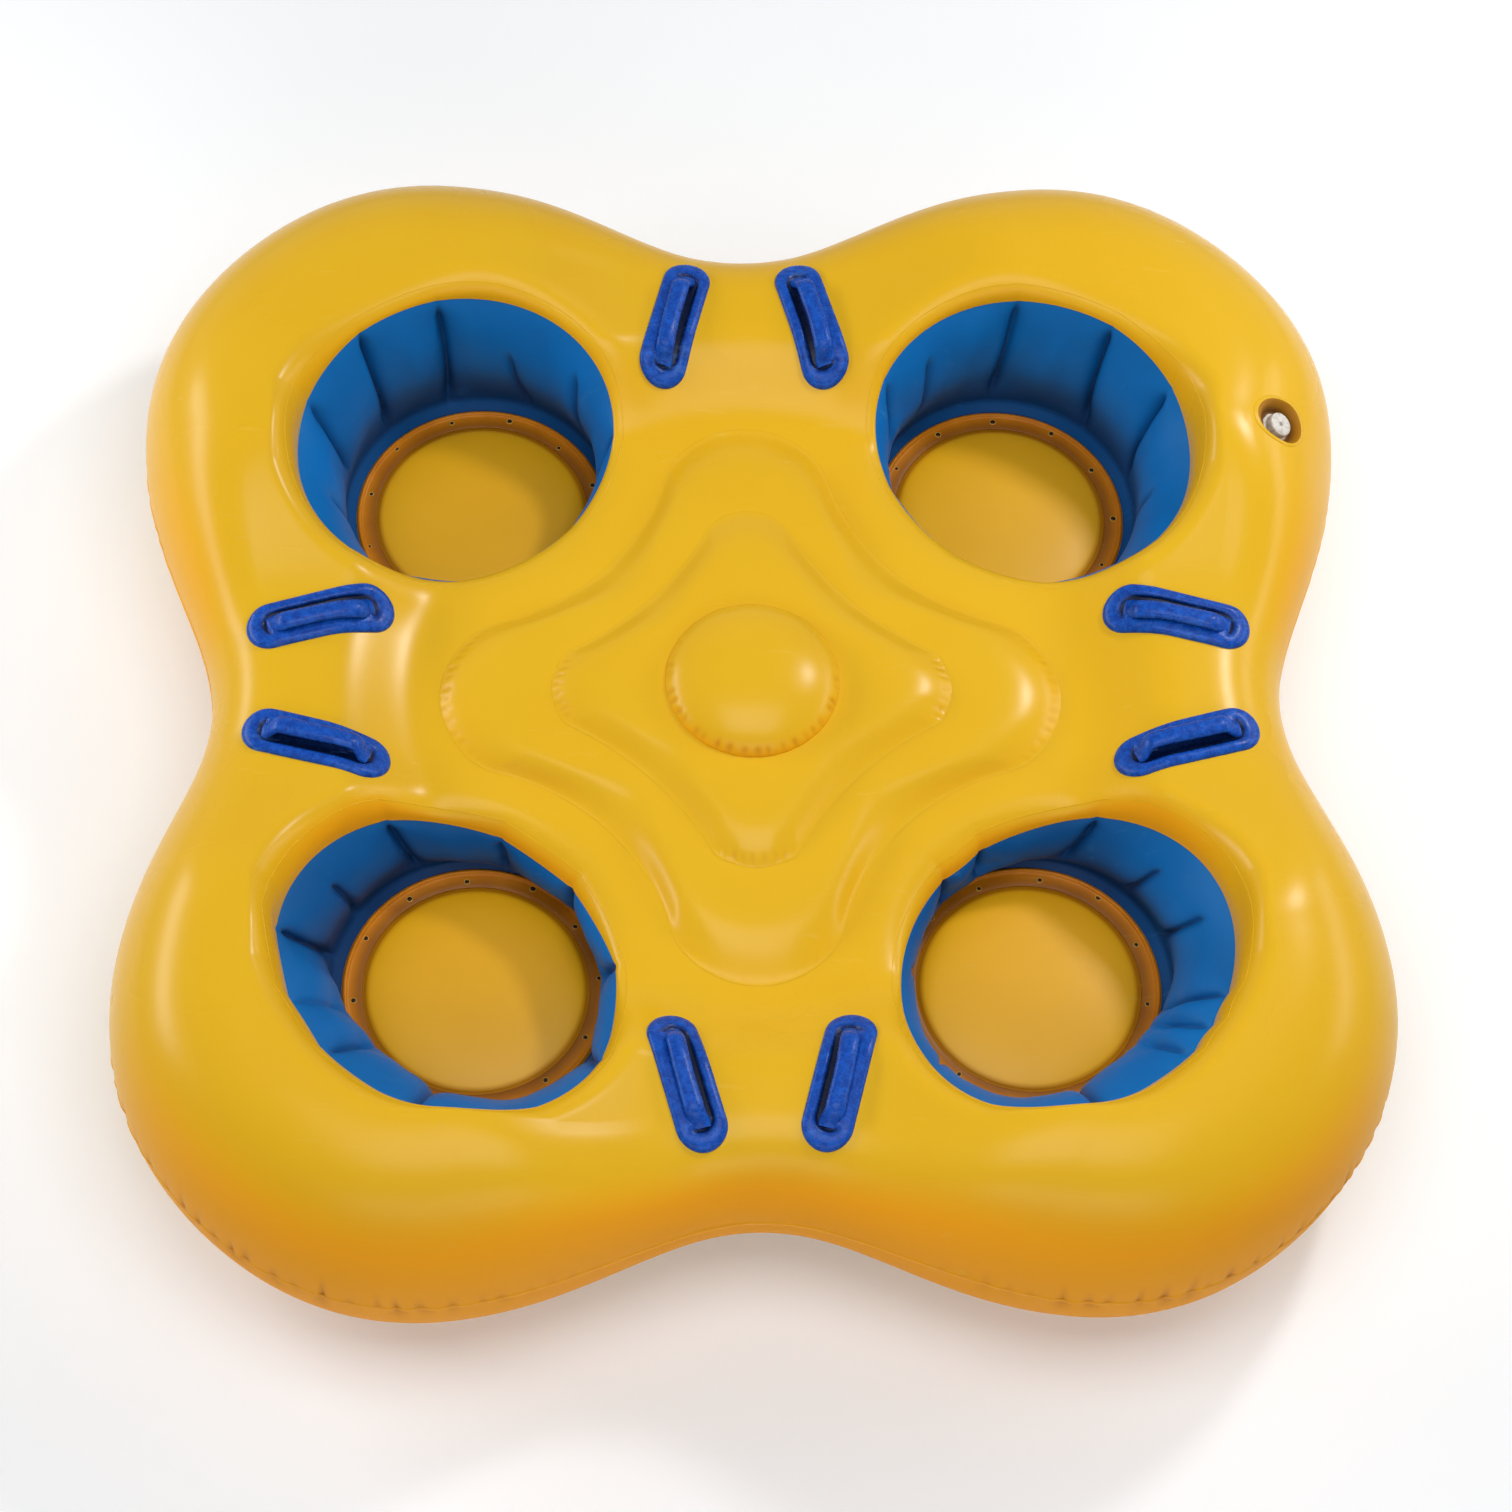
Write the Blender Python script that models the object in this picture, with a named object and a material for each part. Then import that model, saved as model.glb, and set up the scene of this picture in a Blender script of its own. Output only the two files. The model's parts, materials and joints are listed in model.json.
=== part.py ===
"""Four-seat cloverleaf pool raft: welded PVC hull, four floored wells, stacked hub pillows,
eight moulded grab handles and a recessed inflation valve.

Metres, +Z up. The origin is on the ground under the middle of the raft. The front is -Y.
"""

import math

import bmesh
import bpy
from mathutils import Matrix, Vector
from mathutils.bvhtree import BVHTree

# Outline of the hull, seen from above
WAIST_REACH = 1.0406
LOBE_REACH = 1.4516
LOBE_FLATTEN_SHARE = 0.0886
LOBE_POINT_SHARE = 0.0175

# Half heights of the inflated hull, measured from the seam
LOBE_RISE = 0.280
ARM_RISE = 0.175
HUB_RISE = 0.100
HUB_MARGIN = 0.020
ARM_FULL_REACH = 0.820
LOBE_START_SIDE = 0.12
LOBE_FULL_SIDE = 0.56
ROLL_SHARE = 0.94

# Sheet and clearances
SKIN = 0.0012
FIT_GAP = 0.0003
WELD_GAP = 0.0005
SEAM_TAPE_HEIGHT = 0.014
SEAM_TAPE_THICKNESS = 0.0012
WEB_INNER_REACH = 0.210

# Seat wells
OPENING_CENTRE = 0.574
OPENING_ALONG = 0.285
OPENING_ACROSS = 0.335
OPENING_RISE = 0.125
OPENING_SLOPE_RISE = 0.055
OPENING_LIP = 0.075
LINER_BULGE = 0.014
LINER_CREASE = 0.006
WELL_CENTRE = 0.528
RING_DROP = 0.094
RING_OUTER = 0.262
RING_LIP = 0.254
RING_INNER = 0.216
RING_THICKNESS = 0.003
RING_HOLE_CIRCLE = 0.2345
RING_HOLE_RADIUS = 0.0042
RING_HOLES = 12
BOTTOM_LIP = 0.120
PAD_RADIUS = 0.2115
PAD_FLANGE = 0.249
PAD_CROWN = 0.022
PAD_BELLY = 0.030

# Hub pillows, each a four-point star but for the round dome
LOWER_TIER_TIP = 0.600
LOWER_TIER_VALLEY = 0.385
LOWER_TIER_HEIGHT = 0.035
LOWER_TIER_ROLL = 0.060
UPPER_TIER_TIP = 0.385
UPPER_TIER_VALLEY = 0.262
UPPER_TIER_HEIGHT = 0.030
UPPER_TIER_ROLL = 0.045
DOME_RADIUS = 0.167
DOME_HEIGHT = 0.058

# Grab handles
HANDLE_SETBACK = 0.2126
HANDLE_SIDE = 0.138
HANDLE_TOE_DEG = 15.0
HANDLE_LENGTH = 0.285
HANDLE_WIDTH = 0.095
HANDLE_SEAT_SHARE = 0.8
PAN_EDGE = 0.004
PAN_RIM = 0.011
PAN_RIM_INSET = 0.010
PAN_TROUGH_INSET = 0.026
PAN_TROUGH_WALL = 0.004
PAN_FLOOR = 0.005
PAN_SKIRT = 0.030
GRIP_WIDTH = 0.027
GRIP_DEPTH = 0.014
GRIP_CENTRE = 0.034
GRIP_BEND = 0.018
GRIP_FOOT_SHARE = 1.2

# Inflation valve, in its own frame: +Z along the hull's outward normal
VALVE_BEARING_DEG = 23.6
VALVE_ROLL_DEG = 60.0
BOOT_RADIUS = 0.052
BOOT_RIM = 0.0042
BOOT_EDGE = 0.001
BOOT_SKIRT = 0.012
POCKET_RADIUS = 0.037
POCKET_WALL = 0.0015
POCKET_DEPTH = 0.026
POCKET_FLOOR = 0.002
POCKET_ROUND = 0.004
BODY_BORE = 0.0150
BODY_NECK = 0.0185
BODY_COLLAR = 0.0255
COLLAR_THICKNESS = 0.0025
NECK_TOP = 0.0125
BARREL_LENGTH = 0.014
SEAT_BORE = 0.0115
SEAT_THICKNESS = 0.002
LEDGE_BORE = 0.0135
NUT_RADIUS = 0.027
NUT_THICKNESS = 0.004
THREAD_GAP = 0.0006
GUIDE_THICKNESS = 0.0016
GUIDE_PORTS = 6
GUIDE_PORT_RADIUS = 0.0032
GUIDE_PORT_CIRCLE = 0.0088
STEM_RADIUS = 0.0026
BUTTON_RADIUS = 0.0062
BUTTON_THICKNESS = 0.0022
BUTTON_BELOW_NECK = 0.0015
DISC_RADIUS = 0.0138
DISC_THICKNESS = 0.0018
SEAL_THICKNESS = 0.0014
SPRING_RADIUS = 0.0045
SPRING_WIRE_RADIUS = 0.00045
SPRING_LENGTH = 0.0105
SPRING_TURNS = 5
CAP_WALL = 0.0032
CAP_EDGE = 0.0011
CAP_TOP = 0.003
CAP_DIMPLE_RADIUS = 0.0045
CAP_DIMPLE_DEPTH = 0.0016
CAP_SKIRT_GAP = 0.0020
GASKET_THICKNESS = 0.0012

# Facets: shares run from the first row, or the middle of an arc, to the last
LOBE_STEPS = 14
SLOPE_SHARES = (0.55, 0.0)
HUB_SHARES = (0.68, 0.34)
ROLL_STEPS = 5
BOTTOM_ROLL_STEPS = 4
TOP_ROW_SHARES = (0.0, 0.08, 0.24, 0.48, 0.74, 1.0)
BOTTOM_ROW_SHARES = (0.0, 0.15, 0.45, 0.75, 1.0)
LINER_ROW_SHARES = (0.0, 0.2, 0.5, 0.8, 1.0)
TIER_ROW_SHARES = (0.0, 0.10, 0.35, 0.68, 1.0)
TIP_SHARES = (-1.0, -0.67, -0.33, 0.0, 0.33, 0.67, 1.0)
HOLLOW_SHARES = (0.25, 0.5, 0.75)
CROWN_SHARES = (0.0, 0.28, 0.53, 0.76, 1.0)
BELLY_SHARES = (1.0, 0.69, 0.36, 0.0)
DOME_SHARES = (0.0, 0.24, 0.49, 0.73, 1.0)
PAD_STEPS = 24
HANDLE_END_STEPS = 3
HANDLE_SIDE_STEPS = 4
SEAT_STEPS = 8
GRIP_SIDES = 8
GRIP_BEND_STEPS = 3
BOOT_STEPS = 20
TURNED_STEPS = 16
SMALL_TURNED_STEPS = 12
STEM_HOLE_STEPS = 8
HOLE_STEPS = 6
COIL_STEPS = 8
WIRE_SIDES = 4

YELLOW = (0.82, 0.48, 0.020)
AMBER = (0.46, 0.17, 0.008)
WELL_BLUE = (0.010, 0.105, 0.32)
HANDLE_BLUE = (0.014, 0.060, 0.30)
VALVE_WHITE = (0.72, 0.70, 0.66)
RUBBER_BLACK = (0.02, 0.02, 0.02)
STEEL = (0.60, 0.60, 0.62)

SEAM_HEIGHT = LOBE_RISE
QUARTER = math.pi / 2
SIDES = ("right", "rear", "left", "front")
CORNERS = ("rear_right", "rear_left", "front_left", "front_right")


# Scene and mesh helpers

def clear_scene():
    """Remove every object that the file opened with."""
    for obj in list(bpy.data.objects):
        bpy.data.objects.remove(obj, do_unlink=True)


def make_material(name, colour, roughness, metallic=0.0):
    """Principled material with one colour."""
    material = bpy.data.materials.new(name)
    material.use_nodes = True
    shader = material.node_tree.nodes["Principled BSDF"]
    shader.inputs["Base Color"].default_value = (*colour, 1.0)
    shader.inputs["Roughness"].default_value = roughness
    shader.inputs["Metallic"].default_value = metallic
    return material


def finish_mesh(bm, name, smooth_deg=40.0):
    """Turn a bmesh into a shaded mesh whose faces point outwards."""
    bmesh.ops.recalc_face_normals(bm, faces=bm.faces[:])
    mesh = bpy.data.meshes.new(name)
    bm.to_mesh(mesh)
    bm.free()
    mesh.shade_smooth()
    mesh.set_sharp_from_angle(angle=math.radians(smooth_deg))
    return mesh


def add_object(name, mesh, material, turn=0.0, parent=None):
    """Link a named object, turned about the vertical by a number of radians."""
    obj = bpy.data.objects.new(name, mesh)
    if material.name not in mesh.materials:
        mesh.materials.append(material)
    obj.rotation_euler[2] = turn
    obj.parent = parent
    bpy.context.collection.objects.link(obj)
    return obj


def add_cutter(name, mesh, parent=None):
    """Link a hidden object that only shapes others."""
    obj = bpy.data.objects.new(name, mesh)
    obj.hide_render = True
    obj.display_type = "WIRE"
    obj.parent = parent
    bpy.context.collection.objects.link(obj)
    return obj


def add_boolean(obj, operation, other):
    """Shape an object by another with an exact Boolean."""
    modifier = obj.modifiers.new(operation.lower() + "_" + other.name, "BOOLEAN")
    modifier.operation = operation
    modifier.solver = "EXACT"
    modifier.object = other


def loft(rings, name, ends="flat"):
    """Skin a list of closed rings. Flat ends are single faces, strip ends follow a bent ring
    whose first point lies on its axis, and joined ends make the skin meet itself."""
    bm = bmesh.new()
    rows = [[bm.verts.new(point) for point in ring] for ring in rings]
    count = len(rows[0])
    pairs = list(zip(rows, rows[1:]))
    if ends == "joined":
        pairs.append((rows[-1], rows[0]))
    for row in (rows[0], rows[-1]):
        if ends == "flat":
            bm.faces.new(row)
        elif ends == "strip":
            for k in range(count // 2):
                corners = (row[k], row[k + 1], row[count - k - 1], row[(count - k) % count])
                bm.faces.new(list(dict.fromkeys(corners)))
    for low, high in pairs:
        for k in range(count):
            step = (k + 1) % count
            bm.faces.new((low[k], high[k], high[step], low[step]))
    return finish_mesh(bm, name)


def turned(profile, name, steps=TURNED_STEPS, closed=True):
    """Turn a profile of (radius, height) about Z; points at radius zero become poles."""
    bm = bmesh.new()
    rows = []
    for radius, height in profile:
        points = circle(radius, steps) if radius else [(0, 0)]
        rows.append([bm.verts.new((x, y, height)) for x, y in points])
    pairs = list(zip(rows, rows[1:]))
    if closed:
        pairs.append((rows[-1], rows[0]))
    for low, high in pairs:
        for k in range(steps):
            step = (k + 1) % steps
            here = (low[k % len(low)], high[k % len(high)])
            there = (high[step % len(high)], low[step % len(low)])
            face = list(dict.fromkeys(here + there))
            if len(face) > 2:
                bm.faces.new(face)
    return finish_mesh(bm, name)


def plate(loops, thickness, low, name):
    """Flat plate with holes: the first loop is its edge and the others are cut out."""
    bm = bmesh.new()
    edges = []
    for loop in loops:
        verts = [bm.verts.new((x, y, low)) for x, y in loop]
        edges += [bm.edges.new((verts[k - 1], verts[k])) for k in range(len(verts))]
    bmesh.ops.triangle_fill(bm, use_beauty=True, use_dissolve=False, edges=edges)
    grown = bmesh.ops.extrude_face_region(bm, geom=bm.faces[:])
    raised = [item for item in grown["geom"] if isinstance(item, bmesh.types.BMVert)]
    bmesh.ops.translate(bm, verts=raised, vec=(0, 0, thickness))
    return finish_mesh(bm, name)


def circle(radius, steps, centre=(0.0, 0.0), start=0.0):
    """Points of a circle in plan."""
    angles = [start + 2 * math.pi * k / steps for k in range(steps)]
    return [(centre[0] + radius * math.cos(a), centre[1] + radius * math.sin(a)) for a in angles]


def smooth_step(low, high, value):
    """Ease from 0 at low to 1 at high."""
    share = min(max((value - low) / (high - low), 0.0), 1.0)
    return share * share * (3 - 2 * share)


def quarter_round(share):
    """Rise of a quarter ellipse, 0 to 1, over a share of its width."""
    inside = 1 - min(max(share, 0.0), 1.0)
    return math.sqrt(1 - inside * inside)


def quarter_arc(radius, base, rise, shares):
    """Half section of a dome, as (radius, height) points at shares of its quarter turn."""
    angles = [QUARTER * share for share in shares]
    return [(radius * math.sin(a), base + rise * math.cos(a)) for a in angles]


# Form of the hull

def outline_reach(bearing):
    """Distance from the middle of the raft to its outline, at a bearing."""
    swing = (LOBE_REACH - WAIST_REACH) / 2
    flatten = LOBE_FLATTEN_SHARE * swing
    point = LOBE_POINT_SHARE * swing
    middle = (LOBE_REACH + WAIST_REACH) / 2 + flatten
    waves = (swing + point) * math.cos(4 * bearing) + flatten * math.cos(8 * bearing)
    return middle - waves + point * math.cos(12 * bearing)


def outline_point(bearing):
    """Point of the outline at a bearing, in plan."""
    reach = outline_reach(bearing)
    return Vector((reach * math.cos(bearing), reach * math.sin(bearing)))


def outline_normal(bearing):
    """Outward normal of the outline at a bearing, in plan."""
    tiny = math.radians(0.1)
    along = outline_point(bearing + tiny) - outline_point(bearing - tiny)
    return Vector((along.y, -along.x)).normalized()


def hull_rise(x, y):
    """Half height of the inflated hull over a plan point, away from its rolled edges."""
    lobe = smooth_step(LOBE_START_SIDE, LOBE_FULL_SIDE, min(abs(x), abs(y)))
    outer = ARM_RISE + (LOBE_RISE - ARM_RISE) * lobe
    from_hub = smooth_step(LOWER_TIER_TIP + HUB_MARGIN, ARM_FULL_REACH, math.hypot(x, y))
    return HUB_RISE + (outer - HUB_RISE) * from_hub


def roll_width(bearing):
    """Width of the tube's outer shoulder at a bearing."""
    edge = outline_point(bearing)
    return ROLL_SHARE * hull_rise(edge.x, edge.y)


def crest_point(bearing):
    """Plan point where the outer shoulder reaches its full height."""
    return outline_point(bearing) - outline_normal(bearing) * roll_width(bearing)


def shoulder_point(bearing, roll):
    """Plan point and rise on the outer shoulder, from the seam at roll 0 to the crest at 90 degrees."""
    crest = crest_point(bearing)
    inward = roll_width(bearing) * (1 - math.cos(roll))
    plan = outline_point(bearing) - outline_normal(bearing) * inward
    return Vector((plan.x, plan.y, hull_rise(crest.x, crest.y) * math.sin(roll)))


def lobe_bearings():
    """Bearings of the outline's facets over one quarter."""
    return [QUARTER * j / LOBE_STEPS for j in range(LOBE_STEPS + 1)]


def arm_stations():
    """Distances of the facets along an arm: down the slope from its crest, then over the flat hub."""
    waist = crest_point(0).x
    flat = LOWER_TIER_TIP + HUB_MARGIN
    return [flat + (waist - flat) * share for share in SLOPE_SHARES] + [flat * share for share in HUB_SHARES]


def patch_border():
    """Plan points round one quarter: along the crest, in along +Y to the hub, and out along +X."""
    crest = [crest_point(bearing) for bearing in lobe_bearings()]
    inward = [Vector((0, reach)) for reach in arm_stations()]
    outward = [Vector((reach, 0)) for reach in reversed(arm_stations())]
    return crest + inward + [Vector((0, 0))] + outward


def opening_edge(angle):
    """Plan offset and rise of the top opening's edge, seen from the opening's centre."""
    turned_angle = angle - QUARTER / 2
    along = OPENING_ACROSS * math.cos(turned_angle)
    across = OPENING_ALONG * math.sin(turned_angle)
    radius = OPENING_ALONG * OPENING_ACROSS / math.hypot(along, across)
    rise = OPENING_RISE + OPENING_SLOPE_RISE * math.cos(turned_angle)
    return Vector((radius * math.cos(angle), radius * math.sin(angle), rise))


def ring_edge(angle):
    """Plan offset and depth of the bottom opening's edge, seen from the well's centre."""
    depth = RING_DROP + RING_THICKNESS + FIT_GAP
    return Vector((RING_LIP * math.cos(angle), RING_LIP * math.sin(angle), depth))


def opening_angles():
    """Angles of the top opening's facets, which the liner shares."""
    centre = Vector((OPENING_CENTRE, OPENING_CENTRE))
    return [math.atan2(p.y - centre.y, p.x - centre.x) for p in patch_border()]


def quarter_sheet(centre, edge, row_shares, lip, roll_steps):
    """Rows of points for one quarter: the patch round the well and the outer shoulder."""
    middle = Vector((centre, centre))
    rows = [[] for _ in row_shares]
    for border in patch_border():
        offset = border - middle
        rim = edge(math.atan2(offset.y, offset.x))
        start = middle + rim.xy
        length = (border - start).length
        for row, share in zip(rows, row_shares):
            plan = start.lerp(border, share)
            rise = hull_rise(plan.x, plan.y)
            height = rim.z + (rise - rim.z) * quarter_round(share * max(length / lip, 1.0))
            row.append(Vector((plan.x, plan.y, height)))
    shoulder = []
    for i in range(roll_steps + 1):
        roll = QUARTER * (1 - i / roll_steps)
        shoulder.append([shoulder_point(bearing, roll) for bearing in lobe_bearings()])
    return rows, shoulder


def hull_sheet(centre, edge, row_shares, lip, roll_steps, upward):
    """Welded sheet of all four quarters, above or below the seam, facing outwards."""
    rows, shoulder = quarter_sheet(centre, edge, row_shares, lip, roll_steps)
    sign = 1 if upward else -1
    bm = bmesh.new()
    for quarter in range(4):
        spin = Matrix.Rotation(QUARTER * quarter, 3, "Z")

        def place(point):
            half_gap = FIT_GAP / 2
            turned_point = spin @ point
            turned_point.z = SEAM_HEIGHT + sign * max(turned_point.z, half_gap)
            return bm.verts.new(turned_point)

        def skin(grid, around):
            placed = [[place(point) for point in row] for row in grid]
            count = len(placed[0])
            for low, high in zip(placed, placed[1:]):
                for k in range(count if around else count - 1):
                    step = (k + 1) % count
                    corners = (low[k], high[k], high[step], low[step])
                    bm.faces.new(corners if upward else corners[::-1])

        skin(rows, True)
        skin(shoulder, False)
    bmesh.ops.remove_doubles(bm, verts=bm.verts[:], dist=SKIN / 20)
    bmesh.ops.triangulate(bm, faces=bm.faces[:])
    bm.normal_update()
    return bm


def back_the_sheet(bm, name, back):
    """Close a triangulated sheet with a second side, one point of it for each of the sheet's vertices."""
    front_faces = bm.faces[:]
    border = [edge for edge in bm.edges if edge.is_boundary]
    backs = [(vert, back(vert)) for vert in bm.verts]
    twins = {vert: bm.verts.new(point) for vert, point in backs}
    for face in front_faces:
        bm.faces.new([twins[vert] for vert in reversed(face.verts)])
    for edge in border:
        first, second = edge.verts
        bm.faces.new((first, second, twins[second], twins[first]))
    return finish_mesh(bm, name)


def skin_back(centre):
    """Inner side of a hull sheet; its free edges are cut square, level with the outer side."""
    def back(vert):
        if not vert.is_boundary:
            return vert.co - vert.normal * SKIN
        middle = Vector((math.copysign(centre, vert.co.x), math.copysign(centre, vert.co.y)))
        from_well = vert.co.xy - middle
        if from_well.length < OPENING_ACROSS + SKIN:
            outward = from_well.normalized()
        else:
            outward = -vert.normal.xy.normalized()
        return vert.co + Vector((outward.x, outward.y, 0)) * SKIN
    return back


def top_sheet():
    """Upper hull sheet."""
    return hull_sheet(OPENING_CENTRE, opening_edge, TOP_ROW_SHARES, OPENING_LIP, ROLL_STEPS, True)


def bottom_sheet():
    """Lower hull sheet."""
    return hull_sheet(WELL_CENTRE, ring_edge, BOTTOM_ROW_SHARES, BOTTOM_LIP, BOTTOM_ROLL_STEPS, False)


def make_hull(yellow):
    """Top and bottom panels, and the tape over their seam."""
    upper = back_the_sheet(top_sheet(), "hull_top_panel", skin_back(OPENING_CENTRE))
    top = add_object("hull_top_panel", upper, yellow)
    lower = back_the_sheet(bottom_sheet(), "hull_bottom_panel", skin_back(WELL_CENTRE))
    add_object("hull_bottom_panel", lower, yellow)
    bearings = [QUARTER * j / LOBE_STEPS for j in range(4 * LOBE_STEPS)]
    rings = []
    for outward, level in ((0, -1), (1, -1), (1, 1), (0, 1)):
        stand_off = FIT_GAP + outward * SEAM_TAPE_THICKNESS
        height = SEAM_HEIGHT + level * SEAM_TAPE_HEIGHT / 2
        plan = [outline_point(b) + outline_normal(b) * stand_off for b in bearings]
        rings.append([Vector((p.x, p.y, height)) for p in plan])
    add_object("perimeter_seam_tape", loft(rings, "perimeter_seam_tape", "joined"), yellow)
    return top


def make_hull_clearance():
    """Hidden solid under the top panel's outer side, which the pieces welded on it are cut by."""
    bm = top_sheet()
    for vert in bm.verts:
        vert.co += vert.normal * WELD_GAP
    floor = SEAM_HEIGHT - PAN_SKIRT
    solid = back_the_sheet(bm, "hull_clearance", lambda vert: (vert.co.x, vert.co.y, floor))
    return add_cutter("hull_clearance", solid)


def make_webs(yellow):
    """Inner tie webs, which hold each arm flatter than the lobes."""
    stations = [crest_point(0).x] + [reach for reach in arm_stations() if reach > WEB_INNER_REACH]
    top = [(x, SEAM_HEIGHT + hull_rise(x, 0) - SKIN - WELD_GAP) for x in stations]
    low = [(x, 2 * SEAM_HEIGHT - z) for x, z in top]
    rings = []
    for side in (-1, 1):
        rings.append([Vector((x, side * SKIN / 2, z)) for x, z in top + low[::-1]])
    mesh = loft(rings, "arm_web")
    for quarter, side in enumerate(SIDES):
        add_object("arm_web_" + side, mesh, yellow, turn=QUARTER * quarter)


# Seat wells

def liner_mesh():
    """Creased wall of a well, from the top opening's edge down to the floor ring."""
    opening = Vector((OPENING_CENTRE, OPENING_CENTRE))
    well = Vector((WELL_CENTRE, WELL_CENTRE))
    foot = SEAM_HEIGHT - RING_DROP + FIT_GAP
    angles = opening_angles()
    bm = bmesh.new()
    backs = {}
    rows = []
    for share in LINER_ROW_SHARES:
        row = []
        swell = math.sin(math.pi * share)
        for k, angle in enumerate(angles):
            edge = opening_edge(angle)
            outward = edge.xy.normalized()
            crease = LINER_CREASE * (1 if k % 2 else -1)
            plan = (opening + edge.xy).lerp(well + outward * RING_LIP, share)
            plan += outward * (crease - LINER_BULGE) * swell
            height = (SEAM_HEIGHT + edge.z - FIT_GAP) * (1 - share) + foot * share
            vert = bm.verts.new((plan.x, plan.y, height))
            back = plan + outward * SKIN
            backs[vert] = Vector((back.x, back.y, height))
            row.append(vert)
        rows.append(row)
    for high, low in zip(rows, rows[1:]):
        for k in range(len(angles)):
            step = (k + 1) % len(angles)
            bm.faces.new((high[k], low[k], low[step], high[step]))
    bmesh.ops.triangulate(bm, faces=bm.faces[:])
    return back_the_sheet(bm, "well_liner", backs.get)


def pad_profile():
    """Half section of the crowned floor pad with its weld flange."""
    top = SEAM_HEIGHT - RING_DROP - RING_THICKNESS - FIT_GAP
    low = top - SKIN
    crown = quarter_arc(PAD_RADIUS, top, PAD_CROWN, CROWN_SHARES)
    belly = quarter_arc(PAD_RADIUS, low, -PAD_BELLY, BELLY_SHARES)
    return crown + [(PAD_FLANGE, top), (PAD_FLANGE, low)] + belly


def ring_loops():
    """Plan loops of the floor ring: its edge, its bore and its drain holes."""
    centre = (WELL_CENTRE, WELL_CENTRE)
    loops = [circle(RING_OUTER, PAD_STEPS, centre), circle(RING_INNER, PAD_STEPS, centre)]
    for hole in circle(RING_HOLE_CIRCLE, RING_HOLES, centre):
        loops.append(circle(RING_HOLE_RADIUS, HOLE_STEPS, hole))
    return loops


def make_wells(blue, amber, yellow):
    """Liner, floor ring and floor pad of each of the four seat wells."""
    liner = liner_mesh()
    ring = plate(ring_loops(), RING_THICKNESS, SEAM_HEIGHT - RING_DROP - RING_THICKNESS, "floor_ring")
    pad = turned(pad_profile(), "floor_pad", PAD_STEPS, closed=False)
    pad.transform(Matrix.Translation((WELL_CENTRE, WELL_CENTRE, 0)))
    for quarter, corner in enumerate(CORNERS):
        turn = QUARTER * quarter
        add_object("well_liner_" + corner, liner, blue, turn)
        add_object("floor_ring_" + corner, ring, amber, turn)
        add_object("floor_pad_" + corner, pad, yellow, turn)


# Hub pillows

def star_ring(tip, valley, inset, height):
    """Four-point star, inset evenly: round tips joined by hollows concentric with the wells."""
    well = OPENING_CENTRE
    hollow = well * math.sqrt(2) - valley
    gap = well - tip
    tip_radius = (gap * gap + well * well - hollow * hollow) / (2 * (hollow - gap))
    tip_centre = tip - tip_radius
    join = math.atan2(well, well - tip_centre)
    points = []
    for quarter in range(4):
        spin = Matrix.Rotation(QUARTER * quarter, 3, "Z")
        arc = []
        for share in TIP_SHARES:
            angle = join * share
            radius = tip_radius - inset
            arc.append((tip_centre + radius * math.cos(angle), radius * math.sin(angle)))
        start = math.pi + join
        end = 2 * math.pi + QUARTER - start
        for share in HOLLOW_SHARES:
            angle = start + (end - start) * share
            radius = hollow + inset
            arc.append((well + radius * math.cos(angle), well + radius * math.sin(angle)))
        points += [spin @ Vector((x, y, height)) for x, y in arc]
    return points


def tier_mesh(tip, valley, base, height, roll, name):
    """Star pillow with a flat seat for the next tier."""
    rings = [star_ring(tip, valley, roll * share, base + height * quarter_round(share))
             for share in TIER_ROW_SHARES]
    return loft(rings, name)


def make_hub(yellow):
    """Two star tiers and the round dome, each seated on the one below."""
    base = SEAM_HEIGHT + HUB_RISE + FIT_GAP
    lower = tier_mesh(LOWER_TIER_TIP, LOWER_TIER_VALLEY, base, LOWER_TIER_HEIGHT, LOWER_TIER_ROLL,
                      "hub_lower_tier")
    add_object("hub_lower_tier", lower, yellow)
    base += LOWER_TIER_HEIGHT + FIT_GAP
    upper = tier_mesh(UPPER_TIER_TIP, UPPER_TIER_VALLEY, base, UPPER_TIER_HEIGHT, UPPER_TIER_ROLL,
                      "hub_upper_tier")
    add_object("hub_upper_tier", upper, yellow)
    base += UPPER_TIER_HEIGHT + FIT_GAP
    profile = quarter_arc(DOME_RADIUS, base, DOME_HEIGHT, DOME_SHARES) + [(0, base)]
    dome = turned(profile, "hub_dome", PAD_STEPS, closed=False)
    add_object("hub_dome", dome, yellow)


# Grab handles

def stadium(inset, height):
    """Ring round the handle's base, inset evenly, from one end along its side to the other and back."""
    radius = HANDLE_WIDTH / 2 - inset
    straight = (HANDLE_LENGTH - HANDLE_WIDTH) / 2
    turns = [QUARTER * k / HANDLE_END_STEPS for k in range(HANDLE_END_STEPS)]
    side = [(straight + radius * math.cos(turn), radius * math.sin(turn)) for turn in turns]
    for k in range(HANDLE_SIDE_STEPS):
        side.append((straight * (1 - 2 * k / HANDLE_SIDE_STEPS), radius))
    side += [(-straight - radius * math.sin(turn), radius * math.cos(turn)) for turn in turns]
    tip = straight + radius
    ring = side + [(-tip, 0)] + [(x, -y) for x, y in reversed(side[1:])]
    return [Vector((x, y, height)) for x, y in ring]


def fall(point, sag, twist):
    """Drop of a handle's seat away from its middle, given the drops at its ends and its corners."""
    along = point.x / (HANDLE_SEAT_SHARE * HANDLE_LENGTH / 2)
    across = point.y / (HANDLE_SEAT_SHARE * HANDLE_WIDTH / 2)
    return sag * along * along + twist * along * across


def bent(mesh, sag, twist):
    """Let a handle's mesh fall away from its middle, as the hull under it does."""
    for vert in mesh.vertices:
        vert.co.z -= fall(vert.co, sag, twist)
    return mesh


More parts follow.
